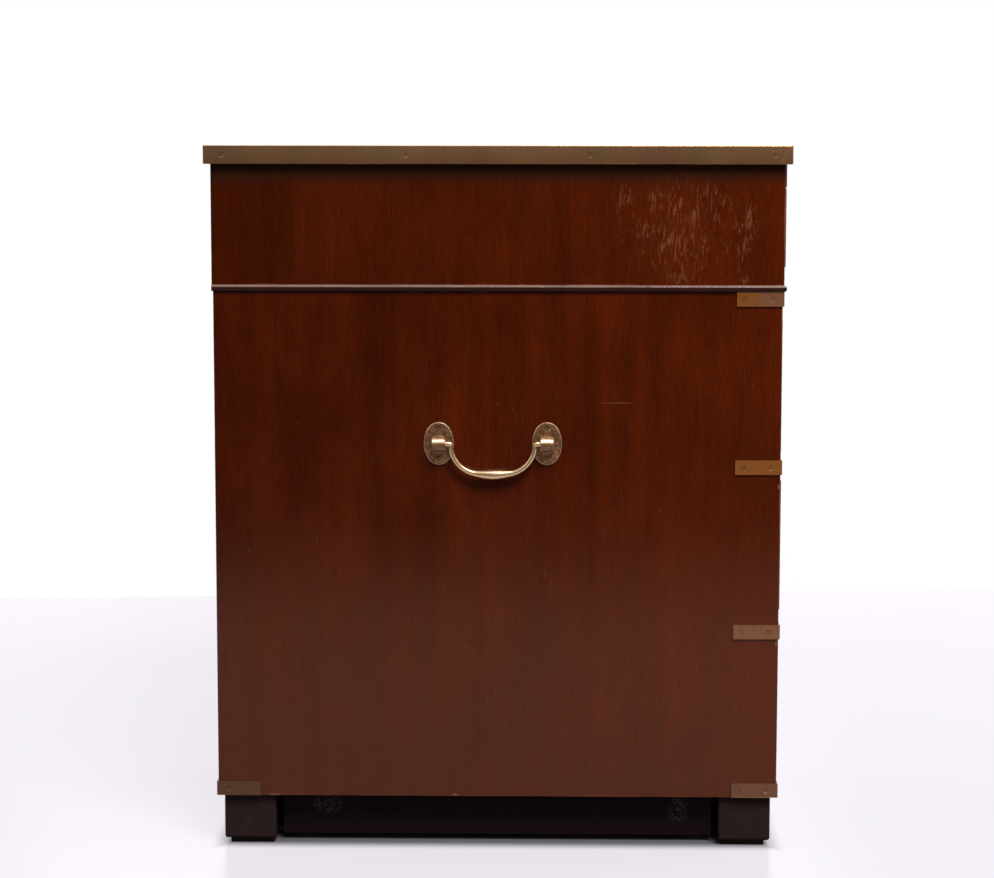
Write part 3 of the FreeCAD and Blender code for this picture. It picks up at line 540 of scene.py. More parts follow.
def shade_and_highlight_lip(shader, position, colour):
    """The lip darkened all over with painted shade, and a painted highlight along its upper rounding."""
    upper = between(axes(position)[2], LIP_MIDDLE - LIP_BLUR, LIP_MIDDLE + LIP_BLUR)
    patchy = between(speckle(position, 9.0, detail=4.0, roughness=0.6), 0.30, 0.60)
    # Painted shade over the whole lip.
    colour = blend(0.8, colour, LIP_SHADE)
    # Painted highlight along the upper rounding, patchy.
    share = times(upper, calc("MULTIPLY_ADD", patchy, 0.45, 0.50))
    paint(shader, blend(share, colour, LIP_HIGHLIGHT))


shade_and_highlight_lip(*wood_made["base_lip"])
flake_left_end(*wood_made["frieze_ends"])
mark_left_side(*wood_made["left_pedestal_sides"])
print("marks:", len(FLAKE_CLUSTERS), "clusters of flakes,", len(CHIPS), "chips")

# %% [markdown]
# ## Brass that has been handled
#
# Old brass is two metals to the eye: a brown skin of tarnish, and gold where a hand or a cloth keeps it
# clean. Slow noise decides where the skin is whole, fine noise gives it pits, and edges are always rubbed.
# The skin is less metallic and rougher than what is under it. Each screw head gets a dark ring, dirt with
# painted shade, and a painted highlight on its lower rim, so a second group takes a point's place from the
# nearest screw.

# %% Node groups: old brass and screw marks
# Also the colour of the painted highlights on the screws' rims.
HANDLED_BRASS_AND_GLINT = (0.66, 0.45, 0.25)
DEEP_TARNISH = (0.030, 0.016, 0.010)
SCREW_RADIUS = 0.0025
GLINT_RADIUS = 0.0030        # of the painted highlight on a screw's lower rim


def build_old_brass():
    group, given, out = start_group(
        "old brass",
        {
            **PIECE_SOCKETS,
            "Cleanness": ("value", 0.3),
            "Rubbed And Highlit": ("value", 0.0),
            "Pits": ("value", 0.35),
            "Skin": ("colour", BLACK),
            "Gold": ("colour", BLACK),
        },
        {"Base Color": "colour", "Metallic": "value", "Roughness": "value", "Height": "value"},
    )
    slow = speckle(given["Position"], 26.0, detail=4.0, roughness=0.6)
    fine = speckle(given["Position"], 420.0, detail=3.0)
    start = calc("MULTIPLY_ADD", given["Cleanness"], -0.5, 0.78)
    clean = between(slow, start, calc("ADD", start, 0.24))
    worn = edge_wear(given, width=0.0009, patches=12.0)
    clean = strongest([clean, times(worn, 0.7), given["Rubbed And Highlit"]])
    colour = blend(clean, given["Skin"], given["Gold"])
    pits = times(between(fine, 0.55, 0.75), given["Pits"])
    feed(out["Base Color"], blend(pits, colour, DEEP_TARNISH))
    feed(out["Metallic"], calc("MULTIPLY_ADD", clean, 0.25, 0.70))
    feed(out["Roughness"], calc("MULTIPLY_ADD", clean, -0.16, 0.44))
    feed(out["Height"], fine)
    return group


def build_screw_marks():
    group, given, out = start_group(
        "screw marks",
        {
            "Position": ("vector", ORIGIN),
            "Across": ("value", 1.0),
            "Up": ("value", 1.0),
            "Dirt And Shade": ("value", 0.75),
            "Shine": ("value", 0.7),
            "Colour": ("colour", BLACK),
        },
        {"Colour": "colour"},
    )
    distance = length_of(given["Across"], given["Up"])
    # A dark ring round each screw head: dirt, with painted shade of its countersink.
    ring = between(away(distance, SCREW_RADIUS), 0.0010, 0.0002)
    ring_patches = between(speckle(given["Position"], 75.0), 0.38, 0.66)
    colour = blend(times(ring, ring_patches, given["Dirt And Shade"]), given["Colour"], DEEP_TARNISH)
    # Painted highlight on the lower rim of each screw.
    glint = between(away(distance, GLINT_RADIUS), 0.0009, 0.0003)
    below = between(given["Up"], -0.0004, -0.0014)
    broken = between(speckle(given["Position"], 480.0), 0.46, 0.62)
    share = times(glint, below, broken, given["Shine"])
    feed(out["Colour"], blend(share, colour, HANDLED_BRASS_AND_GLINT))
    return group


OLD_BRASS, SCREW_MARKS = build_old_brass(), build_screw_marks()
print("brass groups:", len(OLD_BRASS.nodes), "and", len(SCREW_MARKS.nodes), "nodes")

# %% [markdown]
# ## Straps
#
# The straps of a pedestal are one piece, but each has aged in its own way. A point's height tells which
# strap it is on, and its distance from the upright corner how far along it lies. Screws repeat, so the
# place is folded back on itself with absolute values, and a few nodes then measure them all.

# %% Brass: straps
BRASS_THICKNESS = 0.0016                 # of the straps, and of the band round the top
STRAP_SCREWS = (0.011, 0.041)            # from the corner
STRAP_MIDDLES = (0.06375, 0.23875, 0.41775, 0.59825)   # above the floor
STRAP_ROOM = 0.08                        # less than the height between two straps
STRAP_NEAR = 0.03                        # more than half a strap's height
STRAP_BLEND = (0.016, 0.034)             # from the corner, where one tone turns into the other
STRAP_DIRT_AND_SHADE = (0.25, 0.80, 1.30, 0.40)    # dark ring round the screws of each strap, dirt with painted shade, upwards: 0 is none
STRAP_SHINE = (0.40, 0.10, 0.45, 0.35)   # painted highlights on the lower rims of the screws of each strap, upwards
GOLDEN, PINKISH, DULL = (0.238, 0.080, 0.015), (0.205, 0.086, 0.041), (0.136, 0.059, 0.031)
STRAP_TONES = {                          # of each strap, upwards: at the corner and at the strap's end
    "left": ((DULL, DULL), (PINKISH, PINKISH), (GOLDEN, GOLDEN), (PINKISH, GOLDEN)),
    "right": ((GOLDEN, DULL), (GOLDEN, PINKISH), (DULL, DULL), (GOLDEN, GOLDEN)),
}


def strap_reach(position, box):
    """How far a point of a strap is from its upright corner."""
    near = inset(position, box)
    return calc("SUBTRACT", calc("MAXIMUM", near[0], near[1]), BRASS_THICKNESS)


def by_strap(position, values):
    """The value for the strap at a point's height, of one value for each strap, upwards."""
    height = axes(position)[2]
    value = values[0]
    for middle, before, after in zip(STRAP_MIDDLES[1:], values, values[1:]):
        above = calc("GREATER_THAN", height, middle - STRAP_ROOM)
        value = calc("MULTIPLY_ADD", above, after - before, value)
    return value


def strap_screws(position, box):
    """How far along, without a sign, and how far up a point is from the nearest screw of a strap."""
    reach = strap_reach(position, box)
    along = [away(reach, screw) for screw in STRAP_SCREWS]
    up = calc("SUBTRACT", axes(position)[2], by_strap(position, STRAP_MIDDLES))
    return calc("MINIMUM", *along), up


def strap_tone(position, box):
    """The skin's colour on each strap, blended along its reach, and painted lighter on the front ones, for
    the light from the drawers' side.
    """
    tones = STRAP_TONES["left" if box[0][0] < 0 else "right"]
    height = axes(position)[2]
    along = between(strap_reach(position, box), *STRAP_BLEND)
    colour = tones[0][0]
    for middle, (corner, end) in zip(STRAP_MIDDLES, tones):
        here = calc("LESS_THAN", away(height, middle), STRAP_NEAR)
        colour = blend(here, colour, blend(along, corner, end))
    # Painted light: lighter towards the drawers' side.
    return tint(colour, between(axes(position)[1], 0.1, -0.1), 0.22)


print("straps at", STRAP_MIDDLES, "m")

# %% [markdown]
# ## The band round the top
#
# The band's upper edge gets a painted highlight, strongest towards the drawers, and the rest is brown, paler
# towards the top, with olive patches. Its screws stand at an even pitch, so a to-and-fro count from the
# first one gives the distance to the nearest.

# %% Brass: the band
BAND_BROWN, BAND_PALE = (0.156, 0.071, 0.028), (0.200, 0.101, 0.051)
BAND_OLIVE = (0.162, 0.098, 0.035)
BAND_RIM_HIGHLIGHT = (0.0011, 0.0003)   # below the top edge, where the painted highlight on the rim starts and is whole
BAND_SCREW_INSET = 0.0195
BAND_SCREW_COUNTS = {"x": 7, "y": 4}


def band_screws(position, box):
    """How far along and up a point is from the nearest screw, counted to and fro along each side."""
    places = axes(position)
    along = {}
    for axis, place in (("x", 0), ("y", 1)):
        first = box[0][place] + BAND_SCREW_INSET
        pitch = (box[1][place] - BAND_SCREW_INSET - first) / (BAND_SCREW_COUNTS[axis] - 1)
        along[axis] = calc("PINGPONG", calc("SUBTRACT", places[place], first), pitch / 2)
    on_end = calc("GREATER_THAN", calc("ABSOLUTE", places[0]), box[1][0] - BRASS_THICKNESS)
    on_side = calc("SUBTRACT", 1.0, on_end)
    across = calc("ADD", times(along["y"], on_end), times(along["x"], on_side))
    return across, calc("SUBTRACT", places[2], (box[0][2] + box[1][2]) / 2)


def band_tone(position, box):
    """The skin on the top's brass: paler towards its upper edge, with olive and darker patches."""
    colour = blend(between(axes(position)[2], box[0][2], box[1][2]), BAND_BROWN, BAND_PALE)
    olive = between(speckle(position, (21.0, 21.0, 40.0), detail=3.0), 0.45, 0.70)
    colour = blend(times(olive, 0.5), colour, BAND_OLIVE)
    patches = between(speckle(position, (11.0, 11.0, 5.0), detail=4.0), 0.3, 0.7)
    return tint(colour, patches, 0.16)


def band_rim_highlight(position, box):
    """1 on the thin upper edge of the top's brass, most of all towards the drawers: a painted highlight."""
    places = axes(position)
    rim = between(places[2], *(box[1][2] - drop for drop in BAND_RIM_HIGHLIGHT))
    return times(rim, between(places[1], 0.55, -0.20))


print("band screws along each side:", BAND_SCREW_COUNTS)

# %% [markdown]
# ## The plates of the carrying handles
#
# The plates are cast ovals with a post each. Their ground is mottled, as it came from the sand, and painted
# paler towards its foot, against the shadow of the post. Fingers reach the rim, and there the gold shows. A
# crescent under each post and the post's upper half get painted highlights in gold.

# %% Brass: the plates
PLATE_BROWN, PLATE_PALE = (0.142, 0.064, 0.026), (0.265, 0.132, 0.066)
PLATE_SCREW_OFFSET = 0.0165
PLATE_HALF = (0.0161, 0.0230)
COLLAR_HALF = (0.0084, 0.0099)   # of the ring round a post, whose painted highlight shows below it
POST_START = 0.6052              # from the middle of the desk


def plate_offset(position, box):
    """Where a point lies on a carrying handle's plate: across and up from the middle of the nearer plate."""
    middle = (box[0] + box[1]) / 2
    reach = box[1][1] - middle[1] - PLATE_HALF[0]
    places = axes(position)
    across = calc("SUBTRACT", away(places[1], middle[1]), reach)
    return across, calc("SUBTRACT", places[2], middle[2])


def plate_screws(position, box):
    """How far across and up a point is from the nearest screw of a carrying handle's plates."""
    across, up = plate_offset(position, box)
    return across, calc("MULTIPLY_ADD", calc("SIGN", up), -PLATE_SCREW_OFFSET, up)


def plate_tone(position, box):
    """The skin of a plate, mottled as it came from the sand, and painted paler towards its foot, against the
    shadow of its post.
    """
    mottle = between(speckle(position, 330.0), 0.40, 0.68)
    # Painted light: paler towards the plate's foot, lifting the shadow of the post.
    foot = between(plate_offset(position, box)[1], 0.004, -0.012)
    return graded(blend(mottle, PLATE_BROWN, PLATE_PALE), foot, 0.95, 1.35)


def oval_reach(across, up, half):
    """How far out a point is from the middle of an oval: 1 on its outline."""
    return length_of(calc("DIVIDE", across, half[0]), calc("DIVIDE", up, half[1]))


def plate_rim_and_highlights(position, box):
    """1 where hands and cloths reach, on a plate's rim, and on two painted highlights: a crescent under its
    post and the post's upper half.
    """
    across, up = plate_offset(position, box)
    rim = between(oval_reach(across, up, PLATE_HALF), 0.935, 0.975)
    # Painted highlight: a crescent under each post.
    collar = between(away(oval_reach(across, up, COLLAR_HALF), 1.0), 0.13, 0.03)
    patchy = between(speckle(position, 150.0), 0.20, 0.60)
    collar = times(collar, between(up, -0.002, -0.007), patchy)
    out = calc("ABSOLUTE", axes(position)[0])
    # Painted highlight on the post's upper half.
    post = times(between(out, POST_START, POST_START + 0.001), between(up, 0.0, 0.0025))
    return strongest([times(rim, 0.45), collar, times(post, 0.85)])


print("plates:", [2 * half for half in PLATE_HALF], "m")

# %% [markdown]
# ## Dressing the brass
#
# Every fitting gets a material of its own, because its box tells where its edges, its screws, its rubbed
# places and its painted highlights are. Bails are the cleanest, and straps keep most of their skin.

# %% Brass materials
BROWN_BRASS = (0.160, 0.076, 0.032)
BRIGHT_BRASS = (0.50, 0.285, 0.100)
PLATE_GOLD = (0.62, 0.41, 0.26)


def brass(name, box, state, kind):
    """Patinated brass. `state` is how clean, which gold and how pitted, and `kind` has the piece's marks."""
    material, shader, position = start_material(name)
    given = dict(zip(("Cleanness", "Gold", "Pits"), state))
    given["Skin"] = kind["tone"](position, box) if "tone" in kind else BROWN_BRASS
    # The rubbed places include painted highlights on the band's rim and on the plates' posts.
    if "rubbed" in kind:
        given["Rubbed And Highlit"] = kind["rubbed"](position, box)
    metal = place_on_piece(OLD_BRASS, position, box, given)
    dress(shader, metal, specular=0.3)
    bump(shader, metal["Height"], depth=0.00008, strength=0.4)
    if "screws" in kind:
        across, up = kind["screws"](position, box)
        marks = {"Position": position, "Across": across, "Up": up, "Colour": metal["Base Color"]}
        for label, value in kind["marks"].items():
            marks[label] = by_strap(position, value) if isinstance(value, tuple) else value
        paint(shader, place_group(SCREW_MARKS, marks)["Colour"])
    return material


KINDS = {
    "top_edge_brass": {
        "tone": band_tone,
        # The band's rim gets a painted highlight.
        "rubbed": band_rim_highlight,
        "screws": band_screws,
        "marks": {"Dirt And Shade": 0.15, "Shine": 0.45},
    },
    "pedestal_straps": {
        "tone": strap_tone,
        "screws": strap_screws,
        "marks": {"Dirt And Shade": STRAP_DIRT_AND_SHADE, "Shine": STRAP_SHINE},
    },
    "handle_plates": {
        "tone": plate_tone,
        "rubbed": plate_rim_and_highlights,
        "screws": plate_screws,
        "marks": {"Shine": 1.0},
    },
}


def state_of(name):
    """How clean a fitting is, its gold, and how pitted it is."""
    if name == "top_edge_brass":
        return 0.30, BRIGHT_BRASS, 0.10
    if name.endswith("handle_bail"):
        return 1.25, HANDLED_BRASS_AND_GLINT, 0.35
    if name.endswith("handle_plates"):
        return 0.30, PLATE_GOLD, 0.55
    if "pull" in name or "_bail" in name:
        return 0.85, BRIGHT_BRASS, 0.35
    return 0.30, BRIGHT_BRASS, 0.35


fittings = nodes_of("brass")
for name in fittings:
    kind = KINDS.get(name, KINDS.get(name.partition("_")[2], {}))
    NODES[name].material_slots[0].material = brass("brass " + name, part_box(name), state_of(name), kind)
print("brass fittings:", len(fittings))

# %% [markdown]
# ## Carrying handles
#
# A carrying handle is cast: slim arms, a grip that swells for the fingers, and a crease along its front
# where the two halves of the mould met. Straight tube would miss all of that. We make it as a profile
# carried along a path, both as whole arrays. Along the rod the heading turns evenly in each bend, so the
# heading is a broken line over the distance, and the places are its running sum. Round the rod the radius
# dips at the crease.

# %% Helpers: a skin over rings
def closed_skin(name, rings, material):
    """A closed piece from rings of points: quads between rings, and a fan of triangles at each end.

    `rings` is an array of (ring, point, xyz). If the volume, a sum of the faces' corner products, comes out
    negative, the faces point inwards and are turned over.
    """
    count, around = rings.shape[:2]
    points = np.concatenate([rings.reshape(-1, 3), rings[:1].mean(1), rings[-1:].mean(1)])
    first, second = np.meshgrid(np.arange(count - 1), np.arange(around), indexing="ij")
    after = (second + 1) % around
    near, far = first * around, (first + 1) * around
    quads = np.stack([near + second, near + after, far + after, far + second], axis=-1).reshape(-1, 4)
    spin = np.arange(around)
    turned = (spin + 1) % around
    low_middle, last = count * around, (count - 1) * around
    low_cap = np.stack([np.full(around, low_middle), turned, spin], axis=-1)
    high_cap = np.stack([np.full(around, low_middle + 1), last + spin, last + turned], axis=-1)
    halves = np.concatenate([quads[:, (0, 1, 2)], quads[:, (0, 2, 3)], low_cap, high_cap])
    a, b, c = (points[halves[:, k]] for k in range(3))
    if np.einsum("ij,ij->i", a, np.cross(b, c)).sum() < 0:
        quads, low_cap, high_cap = quads[:, ::-1], low_cap[:, ::-1], high_cap[:, ::-1]
    mesh = bpy.data.meshes.new(name)
    mesh.from_pydata(points.tolist(), [], quads.tolist() + low_cap.tolist() + high_cap.tolist())
    mesh.polygons.foreach_set("use_smooth", np.ones(len(mesh.polygons), bool))
    mesh.materials.append(material)
    piece = bpy.data.objects.new(name, mesh)
    bpy.context.scene.collection.objects.link(piece)
    return piece


# %% Carrying handles
HANDLE_ARM_SPAN = 0.090      # between the middles of the arms
HANDLE_DROP = 0.033          # pin axis to the middle of the grip
HANDLE_SHOULDER = 0.031      # bend radius of a shoulder
HANDLE_SAG = 0.130           # bend radius of the grip
HANDLE_CORNER = 0.0036       # bend radius from an arm into its pin
HANDLE_ROD = 0.0052
HANDLE_PIN = 0.0056
HANDLE_SWELLS = ((0.0009, 0.084), (0.0017, 0.048))   # of the radius, and the length it is spread over
SWELL_POWER = 2.3            # how sharply a swell rises
CREASE_DEPTH = 0.08          # share of the radius
CREASE_PLACE = math.radians(14)   # above the front of the rod
CREASE_WIDTH = math.radians(17)
HALF_RINGS, RING_POINTS = 130, 32


def handle_middle_line(pin_reach):
    """Half of the rod's middle line, from the middle of the grip to the pin's end.

    Gives distance, y, z and heading as arrays, and the distances at which its stretches meet.
    """
    half_span = HANDLE_ARM_SPAN / 2
    turn = math.asin((half_span - HANDLE_SHOULDER) / (HANDLE_SAG - HANDLE_SHOULDER))
    sag_rise = HANDLE_SAG * (1 - math.cos(turn)) + HANDLE_SHOULDER * math.cos(turn)
    arm = HANDLE_DROP - sag_rise - HANDLE_CORNER
    stretches = [
        HANDLE_SAG * turn,
        HANDLE_SHOULDER * (math.pi / 2 - turn),
        arm,
        HANDLE_CORNER * math.pi / 2,
        pin_reach - half_span - HANDLE_CORNER,
    ]
    knots = np.concatenate([[0.0], np.cumsum(stretches)])
    headings = [0.0, turn, math.pi / 2, math.pi / 2, 0.0, 0.0]
    distance = np.linspace(0.0, knots[-1], HALF_RINGS)
    steps = np.diff(distance)
    heading_between = np.interp(distance[:-1] + steps / 2, knots, headings)
    y = np.concatenate([[0.0], np.cumsum(steps * np.cos(heading_between))])
    z = np.concatenate([[0.0], np.cumsum(steps * np.sin(heading_between))]) - HANDLE_DROP
    return distance, y, z, np.interp(distance, knots, headings), knots


def carrying_handle(side, material):
    """A handle's bail. A ring's points lie at angle t from the outward front: R(s) times (1 - crease(t))."""
    name = side + "_handle_bail"
    low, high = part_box(name)
    joint = next(j for j in frame["joints"] if j["name"] == side + "_handle_swing")
    pivot = np.array(joint["pos_m"])
    distance, y, z, heading, knots = handle_middle_line((high[1] - low[1]) / 2)
    both = np.concatenate([-distance[:0:-1], distance])
    y, z = np.concatenate([-y[:0:-1], y]), np.concatenate([z[:0:-1], z])
    heading = np.concatenate([-heading[:0:-1], heading])
    radius = np.full(len(both), HANDLE_ROD / 2)
    for swell, length in HANDLE_SWELLS:
        radius += swell * (1 - np.clip(np.abs(both) / (length / 2), 0, 1) ** 2) ** SWELL_POWER
    in_pin = np.interp(np.abs(both), knots[2:5], [0, 1, 1])
    radius = in_pin * (HANDLE_PIN / 2 - radius) + radius
    angle = np.linspace(0, 2 * math.pi, RING_POINTS, endpoint=False)
    wrapped = (angle - CREASE_PLACE + math.pi) % (2 * math.pi) - math.pi
    fade = np.interp(np.abs(both), [knots[1], knots[3]], [1, 0])[:, None]
    reach = radius[:, None] * (1 - CREASE_DEPTH * fade * np.exp(-((wrapped / CREASE_WIDTH) ** 2)))
    outward = -1 if side == "left" else 1
    rings = np.empty((len(both), RING_POINTS, 3))
    rings[:, :, 0] = pivot[0] + outward * reach * np.cos(angle)
    rings[:, :, 1] = pivot[1] + y[:, None] - reach * np.sin(angle) * np.sin(heading)[:, None]
    rings[:, :, 2] = pivot[2] + z[:, None] + reach * np.sin(angle) * np.cos(heading)[:, None]
    piece = closed_skin(side + "_carrying_bail", rings, material)
    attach(piece, side + "_handle")
    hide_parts(name)
    return piece


for side in ("left", "right"):
    name = side + "_handle_bail"
    piece = carrying_handle(side, NODES[name].material_slots[0].material)
    print(piece.name, len(piece.data.polygons), "faces")

# %% [markdown]
# ## Ebonised feet
#
# The block feet and the plinth boards are stained black-brown and kept dull. The plinth, set back between
# the feet, is painted blacker for the shade under each pedestal.

# %% Feet
EBONY = (0.0205, 0.0110, 0.0108)
EBONY_DUST = (0.045, 0.030, 0.028)
PLINTH_SHADE_BLACK = (0.0092, 0.0046, 0.0046)
PALE_DUST = (0.085, 0.085, 0.080)
DUSTY_MARKS = (((0.186, 0.041), (0.022, 0.016)), ((-0.199, 0.036), (0.016, 0.020)))
PLINTH_SET_BACK = 0.012      # less than how far a plinth board stands back from the feet


def build_ebonised_wood():
    group, given, out = start_group("ebonised wood", PIECE_SOCKETS, WOOD_OUTPUTS)
    position = given["Position"]
    streaks = place_group(GRAIN, {"Position": position})["Streaks"]
    dust = speckle(position, 60.0, detail=5.0, roughness=0.7)
    colour = blend(times(between(dust, 0.5, 0.8), 0.25), EBONY, EBONY_DUST)
    colour = tint(colour, streaks, 0.2)
    worn = edge_wear(given, width=0.002, patches=38.0)
    colour = blend(times(worn, 0.5), colour, EBONY_DUST)
    # Painted shade: the plinth set back between the feet is made blacker.
    near = inset(position, (given["Low"], given["High"]))
    shaded_set_back = calc("GREATER_THAN", calc("MINIMUM", near[0], near[1]), PLINTH_SET_BACK)
    colour = blend(shaded_set_back, colour, PLINTH_SHADE_BLACK)
    marks = strongest([spot(position, *mark) for mark in DUSTY_MARKS])
    fluff = speckle(position, 420.0, detail=4.0, roughness=0.7)
    fluff = times(between(fluff, 0.47, 0.62), between(marks, 0.0, 0.8), 0.55)
    feed(out["Base Color"], blend(fluff, colour, PALE_DUST))
    feed(out["Roughness"], calc("MULTIPLY_ADD", dust, 0.3, 0.25))
    feed(out["Height"], streaks)
    return group


EBONISED_WOOD = build_ebonised_wood()


def ebonised(name, box):
    """Black-brown stained wood with dusty, rubbed edges, and the plinth set back between the feet painted
    blacker, for the shade under the pedestal.
    """
    material, shader, position = start_material(name)
    wood = place_on_piece(EBONISED_WOOD, position, box)
    dress(shader, wood, specular=0.03)
    bump(shader, wood["Height"], depth=0.0001, strength=0.5)
    return material


for side in ("left", "right"):
    name = side + "_pedestal_feet"
    NODES[name].material_slots[0].material = ebonised("ebonised " + name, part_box(name))
print("ebonised group:", len(EBONISED_WOOD.nodes), "nodes")

# %% [markdown]
# ## Bare oak inside
#
# Drawer linings were left bare: quarter-sawn oak, dusty brown with age, with open pores along the grain.

# %% Oak
PALE_OAK = (0.40, 0.25, 0.120)
BROWN_OAK = (0.235, 0.130, 0.056)
OAK_PORE = (0.12, 0.062, 0.028)


def build_bare_oak():
    group, given, out = start_group("bare oak", {"Grain Position": ("vector", ORIGIN)}, WOOD_OUTPUTS)
    wood = place_group(GRAIN, {"Position": given["Grain Position"]})
    colour = blend(between(wood["Bands"], 0.25, 0.75), BROWN_OAK, PALE_OAK)
    colour = tint(colour, wood["Streaks"], 0.50)
    colour = blend(times(wood["Pores"], 0.7), colour, OAK_PORE)
    feed(out["Base Color"], tint(colour, wood["Clouds"], 0.25))
    feed(out["Roughness"], calc("MULTIPLY_ADD", wood["Streaks"], 0.25, 0.50))
    feed(out["Height"], calc("SUBTRACT", wood["Streaks"], wood["Pores"]))
    return group


BARE_OAK = build_bare_oak()


def oak(name, offset):
    """Bare oak, its grain along the drawer from front to back."""
    material, shader, position = start_material(name)
    wood = place_group(BARE_OAK, {"Grain Position": turn_grain(position, "y", offset)})
    dress(shader, wood, specular=0.3)
    bump(shader, wood["Height"], depth=0.0002, strength=0.6)
    return material


linings = nodes_of("drawer_oak")
for count, name in enumerate(linings):
    NODES[name].material_slots[0].material = oak("oak " + name, OFFSET_STEP * (count + 0.5))
print("oak linings:", len(linings))

# %% [markdown]
# ## The writing panel
#
# Hide is a skin of small raised cells between fine valleys. A Voronoi texture's distance to its cells'
# edges is just that. The gilt border is three lines at fixed distances from its edges, rubbed thin by
# sleeves, and it is the one place where the leather turns metallic.

# %% Leather
HIDE_GREEN = (0.014, 0.029, 0.016)
HIDE_WORN = (0.040, 0.052, 0.026)
GILT = (0.56, 0.36, 0.12)
GILT_RULES = ((0.0120, 0.0008), (0.0165, 0.0003), (0.0260, 0.0003))   # from the edge, and half the width


def leather(name, box):
    """Tooled hide for the writing panel."""
    material, shader, position = start_material(name)
    cells = node("TexVoronoi", {"Vector": position, "Scale": 750.0}, feature="DISTANCE_TO_EDGE")
    grain = between(cells.outputs["Distance"], 0.0, 0.25)
    slow = speckle(position, 7.0, detail=5.0, roughness=0.62)
    colour = blend(between(slow, 0.45, 0.80), HIDE_GREEN, HIDE_WORN)
    colour = tint(colour, grain, 0.25)
    near = inset(position, box)
    border = calc("MINIMUM", near[0], near[1])
    rules = [between(away(border, rule), half * 1.3, half * 0.7) for rule, half in GILT_RULES]
    ruled = strongest(rules)
    rubbed = between(speckle(position, 90.0, detail=4.0, roughness=0.7), 0.62, 0.45)
    gilt = times(ruled, rubbed)
    rough = calc("MULTIPLY_ADD", slow, 0.3, 0.38)
    finish = {"Base Color": blend(gilt, colour, GILT), "Metallic": gilt, "Roughness": rough}
    dress(shader, finish, specular=0.2)
    bump(shader, calc("MULTIPLY_ADD", ruled, -0.8, grain), depth=0.0002, strength=0.6)
    return material


panel_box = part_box("writing_panel")
NODES["writing_panel"].material_slots[0].material = leather("green hide", panel_box)
print("writing panel:", tuple(round(side, 3) for side in panel_box[1] - panel_box[0]), "m")

# %% [markdown]
# ## Floor, world and lamps
#
# A pale studio floor, ended by a white wall, is all the surroundings there are. The floor has to look pale
# without throwing light back up at the desk. So its paint is dark, and it glows for the camera and in
# reflections only, except under each pedestal, where a floor lies in shade. The wall needs no object:
# beyond the floor's far edge the camera sees the world, which is white for the camera. For everything that
# lights the desk, the world is dimmer, and its reflections are darker near the horizon, as a room is behind
# the lamps. Four large lamps, one for each side, do the rest.

# %% Floor
FLOOR_PAINT = (0.120, 0.115, 0.122)
FLOOR_PALE = (0.90, 0.86, 0.93)
FLOOR_GLOW = 0.72
SMUDGE_TONE = 0.94           # of the floor's own tone
FLOOR_CORNERS = ((-2.3, 3.0, 0.0), (-2.3, -3.0, 0.0), (1.21, -3.0, 0.0), (0.80, 3.0, 0.0))
SHADE_END, SHADE_SIDE = 0.035, 0.030   # how far inside the feet's outline the glow stops
SHADE_BLUR = 0.035

floor_mesh = bpy.data.meshes.new("floor")
floor_mesh.from_pydata(FLOOR_CORNERS, [], [(0, 1, 2, 3)])
floor = bpy.data.objects.new("floor", floor_mesh)
bpy.context.scene.collection.objects.link(floor)
material, shader, position = start_material("floor paint")
smudge = speckle(position, 3.0, detail=5.0, roughness=0.6)
rays = material.node_tree.nodes.new("ShaderNodeLightPath").outputs
seen = strongest([rays["Is Camera Ray"], rays["Is Glossy Ray"], rays["Is Transmission Ray"]])
smudged = tuple(SMUDGE_TONE * part for part in FLOOR_PAINT)
paint(shader, blend(smudge, smudged, FLOOR_PAINT))
places = axes(vector_calc("ABSOLUTE", position))
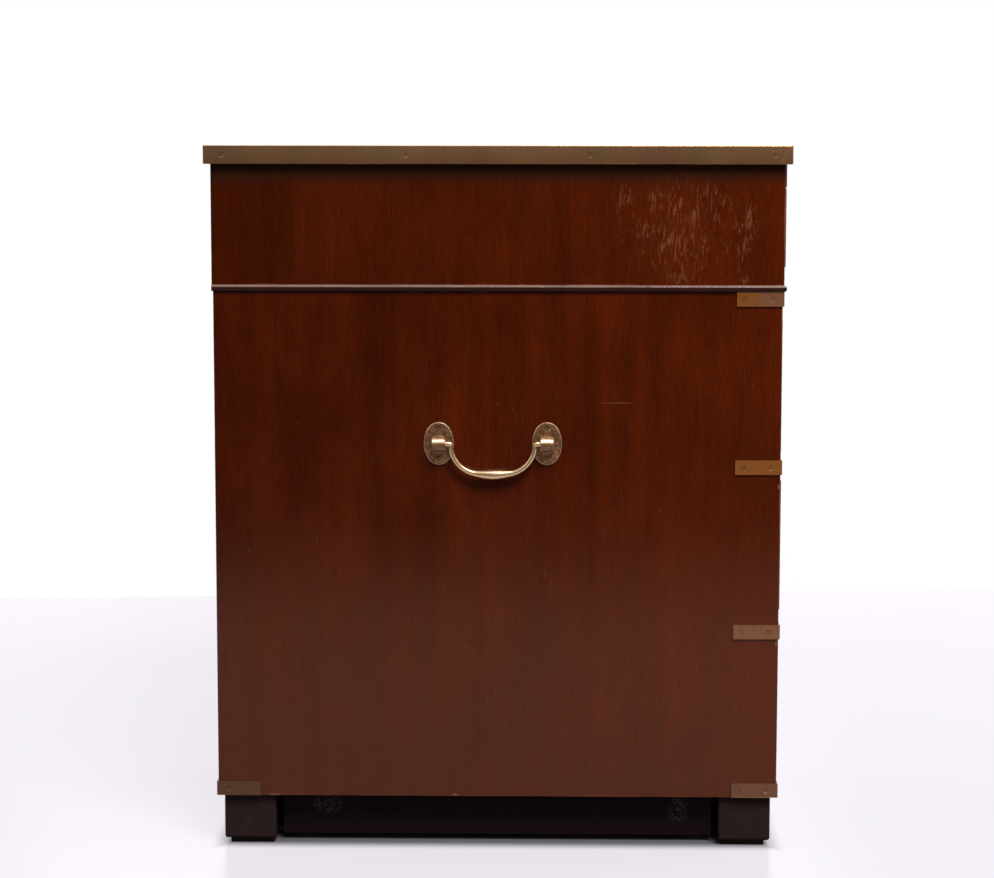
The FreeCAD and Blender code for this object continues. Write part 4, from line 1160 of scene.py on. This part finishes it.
# Painted shade: the floor's glow stops under each pedestal and fades in just outside.
past_end = calc("SUBTRACT", places[0], CAD_BOX[1][0] - SHADE_END)
in_kneehole = calc("SUBTRACT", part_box("right_pedestal_feet")[0][0] + SHADE_END, places[0])
past_side = calc("SUBTRACT", places[1], CAD_BOX[1][1] - SHADE_SIDE)
in_the_open = between(strongest([past_end, in_kneehole, past_side]), 0.0, SHADE_BLUR)
feed(shader.inputs["Emission Strength"], times(seen, FLOOR_GLOW, in_the_open))
shader.inputs["Emission Color"].default_value = (*FLOOR_PALE, 1.0)
shader.inputs["Roughness"].default_value = 0.22
shader.inputs["Specular IOR Level"].default_value = 0.02
floor_mesh.materials.append(material)
print("floor:", len(floor_mesh.polygons), "face, glow", FLOOR_GLOW)

# %% World
AMBIENT = 0.40               # for all that lights the desk
DARK_ROOM = 0.03             # of the reflections of the room near the horizon
TOWARDS_LIGHT = (0.5, 0.0, 0.87)

world = bpy.data.worlds.new("studio")
world.use_nodes = True
bpy.context.scene.world = world
tree = world.node_tree
background = tree.nodes["Background"]
direction = tree.nodes.new("ShaderNodeTexCoord").outputs["Generated"]
facing = node("VectorMath", {0: direction, 1: TOWARDS_LIGHT}, operation="DOT_PRODUCT").outputs["Value"]
rays = tree.nodes.new("ShaderNodeLightPath").outputs
mirrored = strongest([rays["Is Glossy Ray"], rays["Is Transmission Ray"]])
level = calc("MULTIPLY_ADD", between(facing, -0.30, 0.25), 1.0 - DARK_ROOM, DARK_ROOM)
level = calc("MULTIPLY_ADD", mirrored, calc("SUBTRACT", level, AMBIENT), AMBIENT)
feed(background.inputs["Strength"], strongest([level, rays["Is Camera Ray"]]))
background.inputs["Color"].default_value = (1, 1, 1, 1)
print("world: ambient", AMBIENT, "and", len(tree.nodes), "nodes")


# %% Lamps
def softbox(name, place, target, size, power):
    """A square area lamp that faces a point."""
    light = bpy.data.lights.new(name, "AREA")
    light.shape = "SQUARE"
    light.size = size
    light.energy = power
    lamp = bpy.data.objects.new(name, light)
    lamp.location = place
    lamp.rotation_euler = (Vector(target) - Vector(place)).to_track_quat("-Z", "Y").to_euler()
    bpy.context.scene.collection.objects.link(lamp)
    print(name, power, "W")


softbox("left end lamp", (-3.9, -1.6, 5.3), (-0.6, 0.0, 0.4), 2.5, 530.0)
softbox("front lamp", (0.6, -4.2, 3.2), (0.2, -0.3, 0.4), 3.0, 141.0)
softbox("back lamp", (0.4, 4.2, 3.2), (0.2, 0.3, 0.4), 3.0, 110.0)
softbox("right end lamp", (4.8, 0.3, 3.2), (0.6, 0.0, 0.4), 3.0, 118.0)

# %% Finish
bpy.context.scene.view_settings.view_transform = "Standard"
